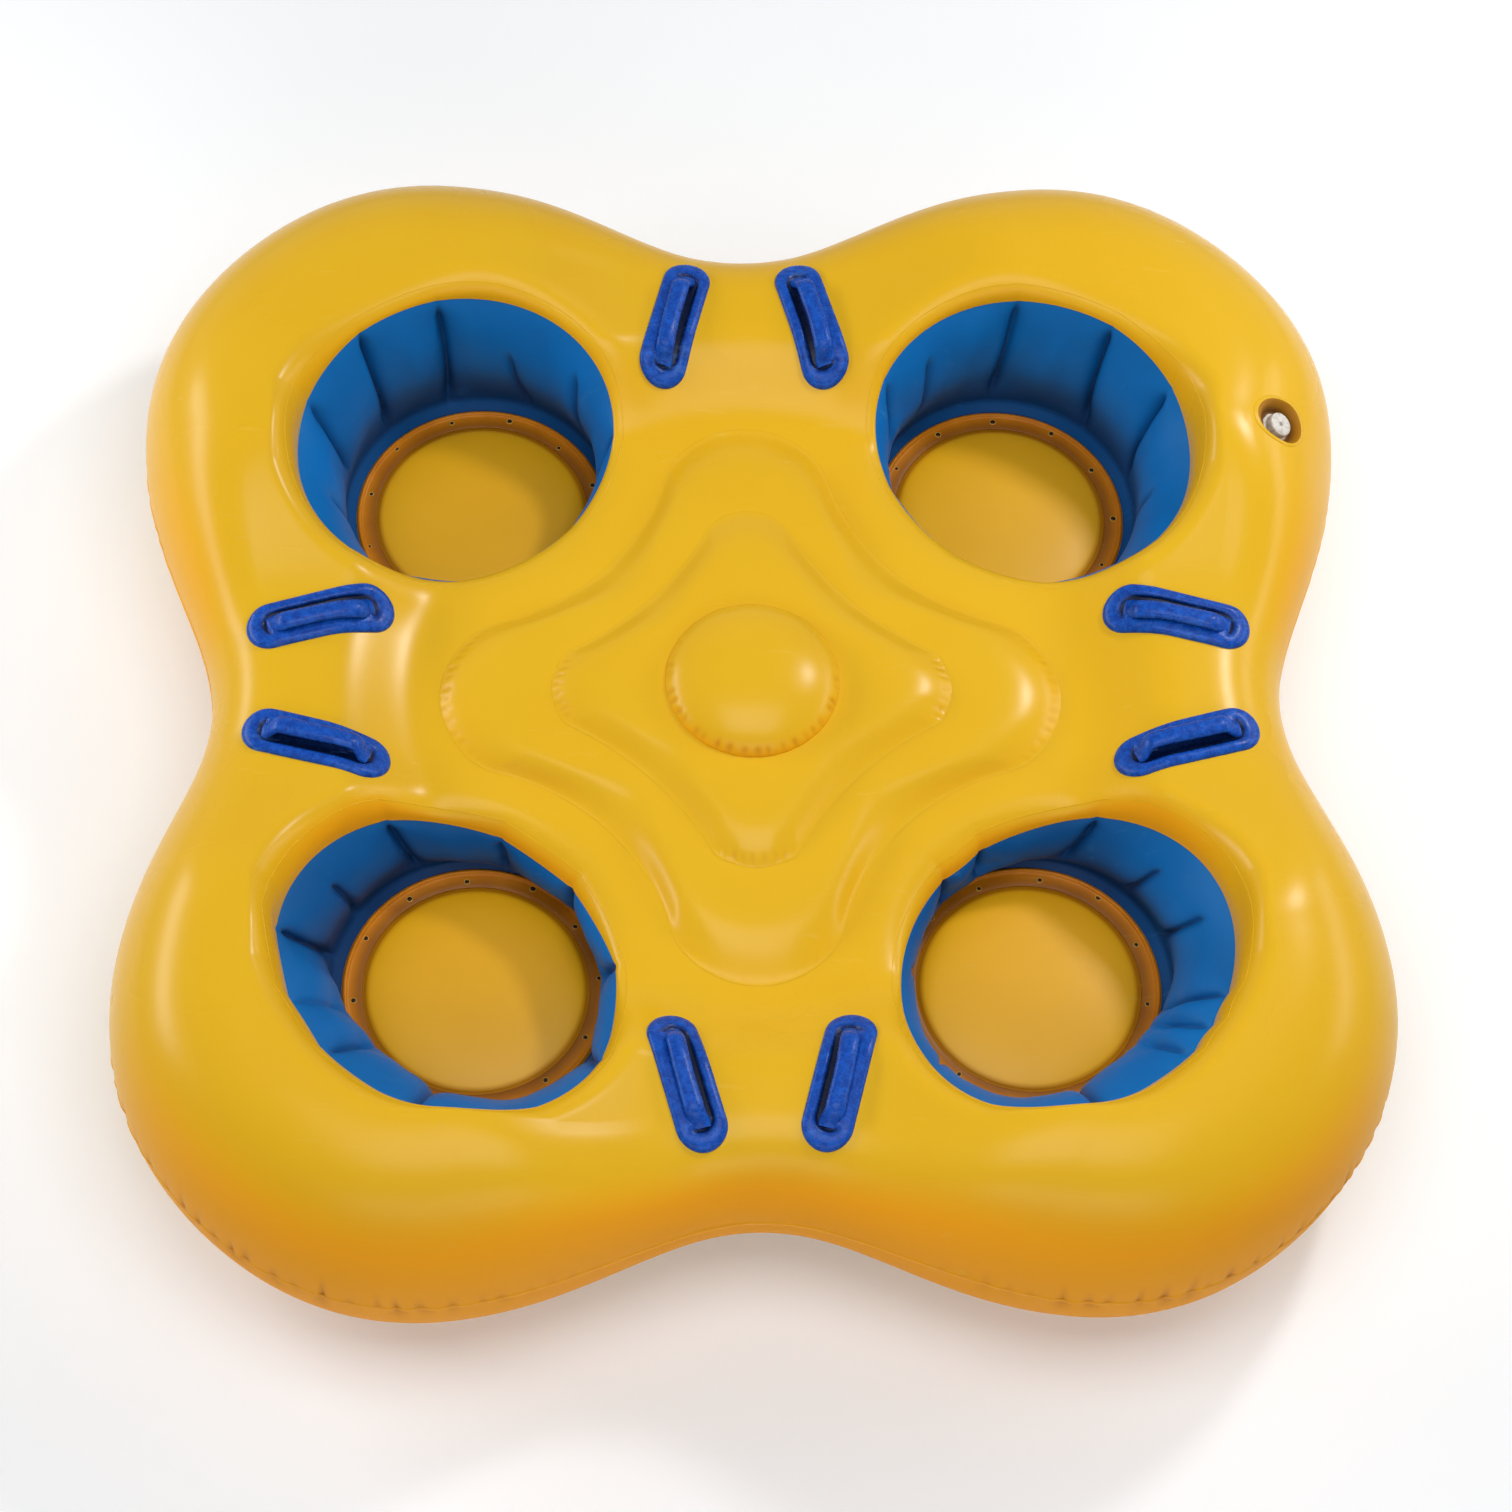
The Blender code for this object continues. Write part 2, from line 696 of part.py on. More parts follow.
def pan_mesh(sag, twist):
    """Moulded base: rolled rim round a trough, with a deep skirt that the hull trims."""
    rings = [
        stadium(0, -PAN_SKIRT),
        stadium(0, PAN_EDGE),
        stadium(PAN_RIM_INSET, PAN_RIM),
        stadium(PAN_TROUGH_INSET - PAN_TROUGH_WALL, PAN_RIM),
        stadium(PAN_TROUGH_INSET, PAN_FLOOR),
    ]
    return bent(loft(rings, "handle_base", "strip"), sag, twist)


def grip_section(size):
    """Octagon across the grip bar, as offsets to the side and in depth."""
    start = math.pi / GRIP_SIDES
    wide = GRIP_WIDTH / 2 * size / math.cos(start)
    deep = GRIP_DEPTH / 2 * size / math.cos(start)
    angles = [start + 2 * math.pi * k / GRIP_SIDES for k in range(GRIP_SIDES)]
    return [(wide * math.cos(a), deep * math.sin(a)) for a in angles]


def grip_mesh(sag, twist):
    """Arched grip bar standing on two feet in the trough."""
    foot = (HANDLE_LENGTH - HANDLE_WIDTH) / 2
    stations = [(-foot, PAN_FLOOR + FIT_GAP, 0.0, GRIP_FOOT_SHARE)]
    for k in range(GRIP_BEND_STEPS + 1):
        lean = QUARTER * k / GRIP_BEND_STEPS
        x = -foot + GRIP_BEND * (1 - math.cos(lean))
        z = GRIP_CENTRE - GRIP_BEND * (1 - math.sin(lean))
        stations.append((x, z, lean, 1.0))
    stations.append(((GRIP_BEND - foot) / 2, GRIP_CENTRE, QUARTER, 1.0))
    middle = (0.0, GRIP_CENTRE, QUARTER, 1.0)
    mirrored = [(-x, z, math.pi - lean, size) for x, z, lean, size in reversed(stations)]
    rings = []
    for x, z, lean, size in stations + [middle] + mirrored:
        centre = Vector((x, 0, z))
        inward = Vector((-math.cos(lean), 0, math.sin(lean)))
        rings.append([centre + Vector((0, side, 0)) + inward * deep for side, deep in grip_section(size)])
    return bent(loft(rings, "handle_grip"), sag, twist)


def hull_point(tree, point):
    """Point of the top panel's outer side over a plan point."""
    above = Vector((point.x, point.y, 2 * LOBE_REACH))
    return tree.ray_cast(above, Vector((0, 0, -1)))[0]


def handle_seat(tree, side):
    """Seat of one of the +X arm's two handles, clear of the panel's ridges and square to its mean slope.
    The other values are how far the hull falls away under its ends and its corners."""
    centre = Vector((WAIST_REACH - HANDLE_SETBACK, side * HANDLE_SIDE, 0))
    toe = math.radians(-side * HANDLE_TOE_DEG)
    along = Vector((math.cos(toe), math.sin(toe), 0)) * HANDLE_SEAT_SHARE * HANDLE_LENGTH / 2
    across = Vector((-math.sin(toe), math.cos(toe), 0)) * HANDLE_SEAT_SHARE * HANDLE_WIDTH / 2
    middle = hull_point(tree, centre)
    inner = hull_point(tree, centre - along)
    outer = hull_point(tree, centre + along)
    axis = (outer - inner).normalized()
    cross = hull_point(tree, centre + across) - hull_point(tree, centre - across)
    up = axis.cross(cross).normalized()
    turn = Matrix((axis, up.cross(axis), up)).transposed().to_4x4()
    seat = Matrix.Translation(middle) @ turn
    sag = middle.z - (inner.z + outer.z) / 2
    twist = 0.0
    for i, j in ((1, 1), (1, -1), (-1, 1), (-1, -1)):
        corner = seat.inverted() @ hull_point(tree, centre + along * i + across * j)
        twist -= i * j * corner.z / 4
    lift = 0.0
    trough = HANDLE_WIDTH / 2 - PAN_TROUGH_INSET
    for i in range(-SEAT_STEPS, SEAT_STEPS + 1):
        for side_step in (-trough, 0, trough):
            offset = along * i / SEAT_STEPS + across.normalized() * side_step
            hit = seat.inverted() @ hull_point(tree, centre + offset)
            lift = max(lift, hit.z + fall(hit, sag, twist))
    return seat @ Matrix.Translation((0, 0, lift)), sag, twist


def make_handles(top, clearance, blue):
    """Two handles on each arm, their outer ends toed in, trimmed to the hull they are welded to."""
    bm = bmesh.new()
    bm.from_mesh(top.data)
    tree = BVHTree.FromBMesh(bm)
    bm.free()
    for number, side in enumerate((-1, 1)):
        seat, sag, twist = handle_seat(tree, side)
        pan = pan_mesh(sag, twist)
        grip = grip_mesh(sag, twist)
        for quarter, arm in enumerate(SIDES):
            label = arm + "_" + str(number + 1)
            frame = bpy.data.objects.new("handle_frame_" + label, None)
            frame.matrix_world = Matrix.Rotation(QUARTER * quarter, 4, "Z") @ seat
            bpy.context.collection.objects.link(frame)
            base = add_object("handle_base_" + label, pan, blue, parent=frame)
            add_boolean(base, "DIFFERENCE", clearance)
            add_object("handle_grip_" + label, grip, blue, parent=frame)


# Inflation valve

def valve_frame(top):
    """Empty on the hull's outer side, with +Z along the outward normal."""
    bearing = math.radians(VALVE_BEARING_DEG)
    roll = math.radians(VALVE_ROLL_DEG)
    crest = crest_point(bearing)
    point = shoulder_point(bearing, roll)
    point.z += SEAM_HEIGHT
    outward = outline_normal(bearing) * (math.cos(roll) / roll_width(bearing))
    normal = Vector((outward.x, outward.y, math.sin(roll) / hull_rise(crest.x, crest.y))).normalized()
    hit = top.ray_cast(point + normal * POCKET_RADIUS, -normal)[1]
    frame = bpy.data.objects.new("valve_frame", None)
    frame.rotation_euler = normal.to_track_quat("Z", "Y").to_euler()
    frame.location = hit
    bpy.context.collection.objects.link(frame)
    return frame


def make_boot(frame, top, clearance, amber):
    """Recessed pocket with a rolled flange, welded over a hole in the top panel."""
    outer = POCKET_RADIUS + POCKET_WALL
    floor = -POCKET_DEPTH
    neck = BODY_NECK + THREAD_GAP
    cup = turned([
        (neck, floor),
        (POCKET_RADIUS - POCKET_ROUND, floor),
        (POCKET_RADIUS, floor + POCKET_ROUND),
        (POCKET_RADIUS, BOOT_RIM),
        (outer, BOOT_RIM),
        (outer, floor - POCKET_FLOOR),
        (neck, floor - POCKET_FLOOR),
    ], "valve_pocket", BOOT_STEPS)
    inner = POCKET_RADIUS + POCKET_WALL / 2
    middle = (inner + BOOT_RADIUS) / 2
    flange = turned([
        (inner, -BOOT_SKIRT),
        (inner, BOOT_RIM - BOOT_EDGE),
        (middle, BOOT_RIM),
        (BOOT_RADIUS, BOOT_EDGE),
        (BOOT_RADIUS, -BOOT_SKIRT),
    ], "valve_boot", BOOT_STEPS)
    pocket = add_cutter("valve_pocket_cup", cup, frame)
    boot = add_object("valve_boot", flange, amber, parent=frame)
    add_boolean(boot, "DIFFERENCE", clearance)
    add_boolean(boot, "UNION", pocket)
    reach = outer + WELD_GAP
    drill = [(0, -BOOT_RADIUS), (reach, -BOOT_RADIUS), (reach, BOOT_RADIUS), (0, BOOT_RADIUS)]
    hole = turned(drill, "valve_hole", BOOT_STEPS, closed=False)
    add_boolean(top, "DIFFERENCE", add_cutter("valve_hole", hole, frame))


def make_valve_body(frame, white, steel):
    """Valve body through the pocket's floor, its nut below, and the pierced guide plate inside."""
    floor = -POCKET_DEPTH
    collar_low = floor + FIT_GAP
    collar_top = collar_low + COLLAR_THICKNESS
    neck_top = collar_low + NECK_TOP
    barrel_low = floor - BARREL_LENGTH
    seat_top = barrel_low + SEAT_THICKNESS
    guide_top = neck_top - BUTTON_BELOW_NECK - BUTTON_THICKNESS - SPRING_LENGTH
    guide_low = guide_top - GUIDE_THICKNESS
    ledge = guide_low - FIT_GAP
    body = turned([
        (SEAT_BORE, barrel_low),
        (SEAT_BORE, seat_top),
        (LEDGE_BORE, seat_top),
        (LEDGE_BORE, ledge),
        (BODY_BORE, ledge),
        (BODY_BORE, neck_top),
        (BODY_NECK, neck_top),
        (BODY_NECK, collar_top),
        (BODY_COLLAR, collar_top),
        (BODY_COLLAR, collar_low),
        (BODY_NECK, collar_low),
        (BODY_NECK, barrel_low),
    ], "valve_body")
    add_object("valve_body", body, white, parent=frame)
    nut_low = floor - POCKET_FLOOR - FIT_GAP - NUT_THICKNESS
    nut_loops = [circle(NUT_RADIUS, HOLE_STEPS), circle(BODY_NECK + THREAD_GAP, TURNED_STEPS)]
    nut = plate(nut_loops, NUT_THICKNESS, nut_low, "valve_nut")
    add_object("valve_nut", nut, white, parent=frame)
    guide_loops = [
        circle(BODY_BORE - THREAD_GAP, SMALL_TURNED_STEPS),
        circle(STEM_RADIUS + THREAD_GAP, STEM_HOLE_STEPS),
    ]
    for port in circle(GUIDE_PORT_CIRCLE, GUIDE_PORTS):
        guide_loops.append(circle(GUIDE_PORT_RADIUS, HOLE_STEPS, port))
    guide = plate(guide_loops, GUIDE_THICKNESS, guide_low, "valve_guide")
    add_object("valve_guide", guide, steel, parent=frame)
    return {"neck_top": neck_top, "collar_top": collar_top, "barrel_low": barrel_low, "guide_top": guide_top}


def make_plunger(frame, levels, white, black, steel):
    """Sprung plunger: button above the guide, stem through it, seal and disc under the seat."""
    button_top = levels["neck_top"] - BUTTON_BELOW_NECK
    button_low = button_top - BUTTON_THICKNESS
    seal_top = levels["barrel_low"] - FIT_GAP
    disc_top = seal_top - SEAL_THICKNESS - FIT_GAP
    disc_low = disc_top - DISC_THICKNESS
    plunger = turned([
        (0, button_top),
        (BUTTON_RADIUS, button_top),
        (BUTTON_RADIUS, button_low),
        (STEM_RADIUS, button_low),
        (STEM_RADIUS, disc_top),
        (DISC_RADIUS, disc_top),
        (DISC_RADIUS, disc_low),
        (0, disc_low),
    ], "valve_plunger", SMALL_TURNED_STEPS, closed=False)
    add_object("valve_plunger", plunger, white, parent=frame)
    seal_bore = STEM_RADIUS + FIT_GAP
    seal_low = disc_top + FIT_GAP
    seal = turned([
        (seal_bore, seal_low),
        (DISC_RADIUS, seal_low),
        (DISC_RADIUS, seal_top),
        (seal_bore, seal_top),
    ], "valve_seal", SMALL_TURNED_STEPS)
    add_object("valve_seal", seal, black, parent=frame)
    low = levels["guide_top"] + SPRING_WIRE_RADIUS + FIT_GAP
    high = button_low - SPRING_WIRE_RADIUS - FIT_GAP
    add_object("valve_spring", spring_mesh(low, high), steel, parent=frame)


def spring_mesh(low, high):
    """Open coil spring of round wire."""
    steps = COIL_STEPS * SPRING_TURNS
    rings = []
    for k in range(steps + 1):
        angle = 2 * math.pi * k / COIL_STEPS
        height = low + (high - low) * k / steps
        outward = Vector((math.cos(angle), math.sin(angle), 0))
        centre = outward * SPRING_RADIUS + Vector((0, 0, height))
        ring = []
        for side in range(WIRE_SIDES):
            around = 2 * math.pi * side / WIRE_SIDES
            across = outward * math.cos(around) + Vector((0, 0, math.sin(around)))
            ring.append(centre + across * SPRING_WIRE_RADIUS)
        rings.append(ring)
    return loft(rings, "valve_spring")


def make_cap(frame, levels, white, black):
    """Screw cap over the neck, dimpled on top, with its flat gasket."""
    neck_top = levels["neck_top"]
    inner = BODY_NECK + THREAD_GAP
    outer = inner + CAP_WALL
    gasket_low = neck_top + FIT_GAP
    gasket_top = gasket_low + GASKET_THICKNESS
    roof = gasket_top + FIT_GAP
    top = roof + CAP_TOP
    skirt = levels["collar_top"] + CAP_SKIRT_GAP
    cap = turned([
        (0, top - CAP_DIMPLE_DEPTH),
        (CAP_DIMPLE_RADIUS, top - CAP_DIMPLE_DEPTH),
        (CAP_DIMPLE_RADIUS, top),
        (outer - CAP_EDGE, top),
        (outer, top - CAP_EDGE),
        (outer, skirt),
        (inner, skirt),
        (inner, roof),
        (0, roof),
    ], "valve_cap", closed=False)
    add_object("valve_cap", cap, white, parent=frame)
    gasket = turned([
        (BODY_BORE, gasket_low),
        (BODY_NECK, gasket_low),
        (BODY_NECK, gasket_top),
        (BODY_BORE, gasket_top),
    ], "valve_cap_gasket")
    add_object("valve_cap_gasket", gasket, black, parent=frame)


def make_valve(top, clearance, amber, white, black, steel):
    """Whole valve, set into the top panel."""
    bpy.context.view_layer.update()
    frame = valve_frame(top)
    make_boot(frame, top, clearance, amber)
    levels = make_valve_body(frame, white, steel)
    make_plunger(frame, levels, white, black, steel)
    make_cap(frame, levels, white, black)


def main():
    """Build the whole raft."""
    clear_scene()
    yellow = make_material("yellow_pvc", YELLOW, 0.38)
    amber = make_material("amber_pvc", AMBER, 0.45)
    blue = make_material("well_blue_pvc", WELL_BLUE, 0.5)
    handle_blue = make_material("handle_blue", HANDLE_BLUE, 0.45)
    white = make_material("valve_white", VALVE_WHITE, 0.4)
    black = make_material("seal_rubber", RUBBER_BLACK, 0.7)
    steel = make_material("spring_steel", STEEL, 0.3, 1.0)
    top = make_hull(yellow)
    make_webs(yellow)
    make_wells(blue, amber, yellow)
    make_hub(yellow)
    clearance = make_hull_clearance()
    make_handles(top, clearance, handle_blue)
    make_valve(top, clearance, amber, white, black, steel)


main()
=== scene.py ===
import math
import random
import bmesh
import bpy
import json
from mathutils import Matrix, Vector, noise
from mathutils.bvhtree import BVHTree


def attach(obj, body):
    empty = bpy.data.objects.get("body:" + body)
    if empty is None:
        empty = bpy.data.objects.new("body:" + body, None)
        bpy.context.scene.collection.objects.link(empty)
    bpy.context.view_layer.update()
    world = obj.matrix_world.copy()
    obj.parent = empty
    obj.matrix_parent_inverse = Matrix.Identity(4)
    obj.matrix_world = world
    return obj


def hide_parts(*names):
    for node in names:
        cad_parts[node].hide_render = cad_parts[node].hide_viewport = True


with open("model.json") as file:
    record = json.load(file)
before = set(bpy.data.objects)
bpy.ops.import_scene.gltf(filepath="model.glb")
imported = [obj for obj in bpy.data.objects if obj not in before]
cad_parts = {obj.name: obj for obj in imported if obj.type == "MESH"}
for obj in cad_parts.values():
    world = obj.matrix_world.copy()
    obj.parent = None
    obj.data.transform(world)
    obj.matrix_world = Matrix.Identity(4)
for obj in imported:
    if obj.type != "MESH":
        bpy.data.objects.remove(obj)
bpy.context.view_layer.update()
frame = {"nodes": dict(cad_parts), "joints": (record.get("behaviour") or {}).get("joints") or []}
quarterTurn = math.pi / 2
corners = ("rear_right", "rear_left", "front_left", "front_right")
arms = ("right", "rear", "left", "front")
seamHeight = 0.280
print("frame loaded:", len(frame["nodes"]), "nodes")


# small tools for numbers, meshes and pieces
def smoothStep(low, high, value):
    share = min(max((value - low) / (high - low), 0.0), 1.0)
    return share * share * (3 - 2 * share)


def quarterRound(share):
    inside = 1 - min(max(share, 0.0), 1.0)
    return math.sqrt(1 - inside * inside)


def angleGap(a, b):
    return (a - b + math.pi) % (2 * math.pi) - math.pi


def arcShares(count, power=1.0):
    return [(i / count) ** power for i in range(count + 1)]


def polar(reach, bearing, height=0.0):
    return Vector((reach * math.cos(bearing), reach * math.sin(bearing), height))


def newObject(name, data):
    obj = bpy.data.objects.new(name, data)
    bpy.context.collection.objects.link(obj)
    return obj


def newPiece(name, points, faces, material):
    mesh = bpy.data.meshes.new(name)
    mesh.from_pydata([tuple(p) for p in points], [], faces)
    mesh.validate()
    mesh.shade_smooth()
    mesh.materials.append(material)
    return newObject(name, mesh)


def gridFaces(rowCount, columnCount, around=True, flip=False, offset=0, closed=False):
    # quads between neighbouring rows of points; closed joins the last row to the first
    faces = []
    for i in range(rowCount if closed else rowCount - 1):
        low, high = i * columnCount, (i + 1) % rowCount * columnCount
        for k in range(columnCount if around else columnCount - 1):
            step = (k + 1) % columnCount
            face = (low + k, high + k, high + step, low + step)
            faces.append(tuple(offset + n for n in (face[::-1] if flip else face)))
    return faces


def faceOutward(obj, fillHoles=False):
    bm = bmesh.new()
    bm.from_mesh(obj.data)
    if fillHoles:
        bmesh.ops.holes_fill(bm, edges=[e for e in bm.edges if e.is_boundary], sides=0)
    bmesh.ops.recalc_face_normals(bm, faces=bm.faces[:])
    bm.to_mesh(obj.data)
    bm.free()


def closeEnds(obj, sharpFrom=50):
    faceOutward(obj, True)
    obj.data.shade_smooth()
    obj.data.set_sharp_from_angle(angle=math.radians(sharpFrom))


def settle(obj, stands=(), body="raft"):
    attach(obj, body)
    if stands:
        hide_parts(*stands)
    return obj


def addFloats(obj, name, values):
    attribute = obj.data.attributes.new(name, "FLOAT", "POINT")
    attribute.data.foreach_set("value", values)


# painted shade on steep sheet, a deeper tone for the light the front flank misses: what the rear gets of it, and the
# normals at which it is full
paintedShadeTone = {"rearShare": 0.08, "frontFull": 0.85, "uprightFull": 0.45}


def addPaintedShade(obj, share=1.0, fade=None):
    # painted shade: 1 where the sheet stands upright, more so towards the front, which the light reaches least
    values = []
    for vert in obj.data.vertices:
        front = smoothStep(0.0, paintedShadeTone["frontFull"], -vert.normal.y)
        facing = paintedShadeTone["rearShare"] + (1 - paintedShadeTone["rearShare"]) * front
        tone = share * facing * smoothStep(1.0, paintedShadeTone["uprightFull"], vert.normal.z)
        values.append(tone * fade(vert.co) if fade else tone)
    addFloats(obj, "steep", values)


# camera, solved from the handles and the outline in the photograph
view = {"lens": 88.24, "sensor": 36, "distance": 7.2007, "elevation": 61.7721, "turn": 5.8255, "roll": 5.0775,
        "target": (0.0191, -0.0742), "clipEnd": 60}


def makeCamera():
    elevation, roll = math.radians(view["elevation"]), math.radians(view["roll"])
    back = Vector((0, -math.cos(elevation), math.sin(elevation)))
    right, up = Vector((1, 0, 0)), Vector((0, math.sin(elevation), math.cos(elevation)))
    axes = (math.cos(roll) * right + math.sin(roll) * up, math.cos(roll) * up - math.sin(roll) * right, back)
    turnBack = Matrix.Rotation(-math.radians(view["turn"]), 4, "Z")
    spin = Matrix(axes).transposed().to_4x4()
    target = Vector((*view["target"], 0))
    place = Matrix.Translation((0, 0, seamHeight)) @ turnBack @ Matrix.Translation(target + back * view["distance"])
    camera = newObject("camera", bpy.data.cameras.new("camera"))
    camera.matrix_world = place @ spin
    camera.data.lens = view["lens"]
    camera.data.sensor_width = view["sensor"]
    camera.data.clip_end = view["clipEnd"]
    bpy.context.scene.camera = camera


makeCamera()
print("camera set")


# tools for node trees
def addNode(tree, kind, inputs=None, **settings):
    # an input, by name or number, takes a plain value, one output of a node, or a node for its first output
    node = tree.nodes.new(kind)
    for label, value in settings.items():
        setattr(node, label, value)
    for label, value in (inputs or {}).items():
        if isinstance(value, bpy.types.Node):
            value = value.outputs[0]
        if isinstance(value, bpy.types.NodeSocket):
            tree.links.new(value, node.inputs[label])
        else:
            node.inputs[label].default_value = value
    return node


def newGroup(name, inputs, outputs):
    group = bpy.data.node_groups.new(name, "ShaderNodeTree")
    for label, value in inputs.items():
        group.interface.new_socket(label, in_out="INPUT", socket_type="NodeSocketFloat").default_value = value
    for label in outputs:
        group.interface.new_socket(label, in_out="OUTPUT", socket_type="NodeSocketFloat")
    return group, group.nodes.new("NodeGroupInput").outputs


def newMaterial(name):
    material = bpy.data.materials.new(name)
    material.use_nodes = True
    return material, material.node_tree, material.node_tree.nodes["Principled BSDF"]


def placeGroup(tree, group, **values):
    return addNode(tree, "ShaderNodeGroup", values, node_tree=group)


def mathNode(tree, operation, first, second):
    return addNode(tree, "ShaderNodeMath", {0: first, 1: second}, operation=operation).outputs[0]


def noiseNode(tree, scale, detail, roughness=0.5, vector=None):
    vector = vector or addNode(tree, "ShaderNodeTexCoord").outputs["Object"]
    inputs = {"Scale": scale, "Detail": detail, "Roughness": roughness, "Vector": vector}
    return addNode(tree, "ShaderNodeTexNoise", inputs).outputs["Fac"]


def mixColours(tree, factor, first, second):
    first, second = ((*colour, 1) if isinstance(colour, tuple) else colour for colour in (first, second))
    return addNode(tree, "ShaderNodeMix", {0: factor, 6: first, 7: second}, data_type="RGBA").outputs[2]


def rangeNode(tree, value, fromLow, fromHigh, toLow, toHigh):
    inputs = {"Value": value, "From Min": fromLow, "From Max": fromHigh, "To Min": toLow, "To Max": toHigh}
    return addNode(tree, "ShaderNodeMapRange", inputs).outputs["Result"]


# shader groups that several finishes share
marks = {"stretch": (1.0, 5.0, 2.0), "turn": (0.3, 0.2, 0.7), "detail": 6.0, "roughness": 0.62, "patchScale": 2.4,
         "contrast": 12.0}


def makeGrainGroup():
    # calendered sheet: fine pebble for the bump and a slow mottle for colour and gloss
    group, given = newGroup("sheetGrain", {"pebbleScale": 900.0, "mottleScale": 7.0}, ["pebble", "mottle"])
    pebble = noiseNode(group, given["pebbleScale"], 2.0)
    slow = noiseNode(group, given["mottleScale"], 3.0)
    slower = noiseNode(group, mathNode(group, "MULTIPLY", given["mottleScale"], 0.3), 1.0)
    mottle = mathNode(group, "MULTIPLY", mathNode(group, "ADD", slow, slower), 0.5)
    addNode(group, "NodeGroupOutput", {"pebble": pebble, "mottle": mottle})
    return group


def makeScuffGroup():
    # handling marks: short streaks that are duller and paler than the sheet
    group, given = newGroup("handlingScuffs", {"markScale": 9.0, "coverage": 0.42}, ["scuff"])
    place = addNode(group, "ShaderNodeTexCoord").outputs["Object"]
    mapping = {"Vector": place, "Scale": marks["stretch"], "Rotation": marks["turn"]}
    stretched = addNode(group, "ShaderNodeMapping", mapping).outputs["Vector"]
    streaks = noiseNode(group, given["markScale"], marks["detail"], marks["roughness"], stretched)
    patches = noiseNode(group, marks["patchScale"], 1.0)
    mask = mathNode(group, "MULTIPLY", mathNode(group, "SUBTRACT", streaks, 0.5), patches)
    strong = mathNode(group, "SUBTRACT", mathNode(group, "MULTIPLY", mask, marks["contrast"]), given["coverage"])
    addNode(group, "NodeGroupOutput", {"scuff": addNode(group, "ShaderNodeClamp", {"Value": strong})})
    return group


def makeFoldGroup():
    # painted shade, a deeper colour in pinches, creases, recesses and gaps, from a piece's own attribute; on the cap
    # it also carries wear
    group, given = newGroup("foldShade", {"strength": 1.0}, ["fold"])
    depth = addNode(group, "ShaderNodeAttribute", attribute_name="foldDepth").outputs["Fac"]
    addNode(group, "NodeGroupOutput", {"fold": mathNode(group, "MULTIPLY", depth, given["strength"])})
    return group


grainGroup, scuffGroup, foldGroup = makeGrainGroup(), makeScuffGroup(), makeFoldGroup()

# what every sheet shares: the mottle's range, how far it swings the gloss, and what dulls it
sheetGloss = {"mottle": (0.35, 0.65), "swing": 0.03, "scuffed": 0.12, "steep": 0.35, "pebbleHeight": 0.0004}


def makeSheet(name, look):
    # colour, painted shade as a deeper tone on steep parts and in folds, pale scuffs, gloss and pebble
    material, tree, shader = newMaterial(name)
    grain = placeGroup(tree, grainGroup, pebbleScale=look["pebbleScale"], mottleScale=look["mottleScale"])
    scuff = placeGroup(tree, scuffGroup, coverage=look["scuffCoverage"]).outputs["scuff"]
    fold = placeGroup(tree, foldGroup, strength=look["foldStrength"]).outputs["fold"]
    mottle = rangeNode(tree, grain.outputs["mottle"], *sheetGloss["mottle"], 0, 1)
    colour = mixColours(tree, mottle, look["colour"], look["otherColour"])
    low, high = look["roughness"] - sheetGloss["swing"], look["roughness"] + sheetGloss["swing"]
    scuffed = mathNode(tree, "MULTIPLY", scuff, sheetGloss["scuffed"])
    gloss = mathNode(tree, "ADD", rangeNode(tree, mottle, 0, 1, low, high), scuffed)
    # painted shade: the steep attribute mixes in the deeper tone
    if "paintedShadeColour" in look:
        steep = addNode(tree, "ShaderNodeAttribute", attribute_name="steep").outputs["Fac"]
        colour = mixColours(tree, steep, colour, look["paintedShadeColour"])
        gloss = mathNode(tree, "ADD", gloss, mathNode(tree, "MULTIPLY", steep, sheetGloss["steep"]))
    colour = mixColours(tree, fold, colour, look["foldShadeColour"])
    faded = mathNode(tree, "MULTIPLY", scuff, look["scuffFade"])
    colour = mixColours(tree, faded, colour, look["scuffColour"])
    tree.links.new(colour, shader.inputs["Base Color"])
    tree.links.new(gloss, shader.inputs["Roughness"])
    shader.inputs["Specular IOR Level"].default_value = look.get("shine", 0.5)
    pebbled = {"Strength": look["bump"], "Distance": sheetGloss["pebbleHeight"], "Height": grain.outputs["pebble"]}
    tree.links.new(addNode(tree, "ShaderNodeBump", pebbled).outputs[0], shader.inputs["Normal"])
    return material


# the deep colour is painted shade on steep sheet; each look's fold colour is painted shade in folds, creases, recesses
# and gaps
yellowLook = {"colour": (0.80, 0.462, 0.012), "otherColour": (0.78, 0.440, 0.010), "paintedShadeColour": (0.96, 0.385, 0.003),
              "foldShadeColour": (0.46, 0.115, 0.001), "foldStrength": 0.8, "scuffColour": (0.88, 0.60, 0.12),
              "scuffFade": 0.25, "scuffCoverage": 0.95, "roughness": 0.26, "shine": 0.20, "pebbleScale": 420.0,
              "mottleScale": 5.0, "bump": 0.10}
padLook = dict(yellowLook, colour=(0.97, 0.50, 0.008), otherColour=(0.91, 0.455, 0.006), roughness=0.42, shine=0.40,
               bump=0.3)
padLook.pop("paintedShadeColour")
amberLook = {"colour": (0.68, 0.230, 0.004), "otherColour": (0.52, 0.160, 0.002), "foldShadeColour": (0.10, 0.03, 0.004),
             "foldStrength": 0.9, "scuffColour": (0.66, 0.36, 0.08), "scuffFade": 0.4, "scuffCoverage": 0.9,
             "roughness": 0.38, "shine": 0.2, "pebbleScale": 380.0, "mottleScale": 16.0, "bump": 0.2}
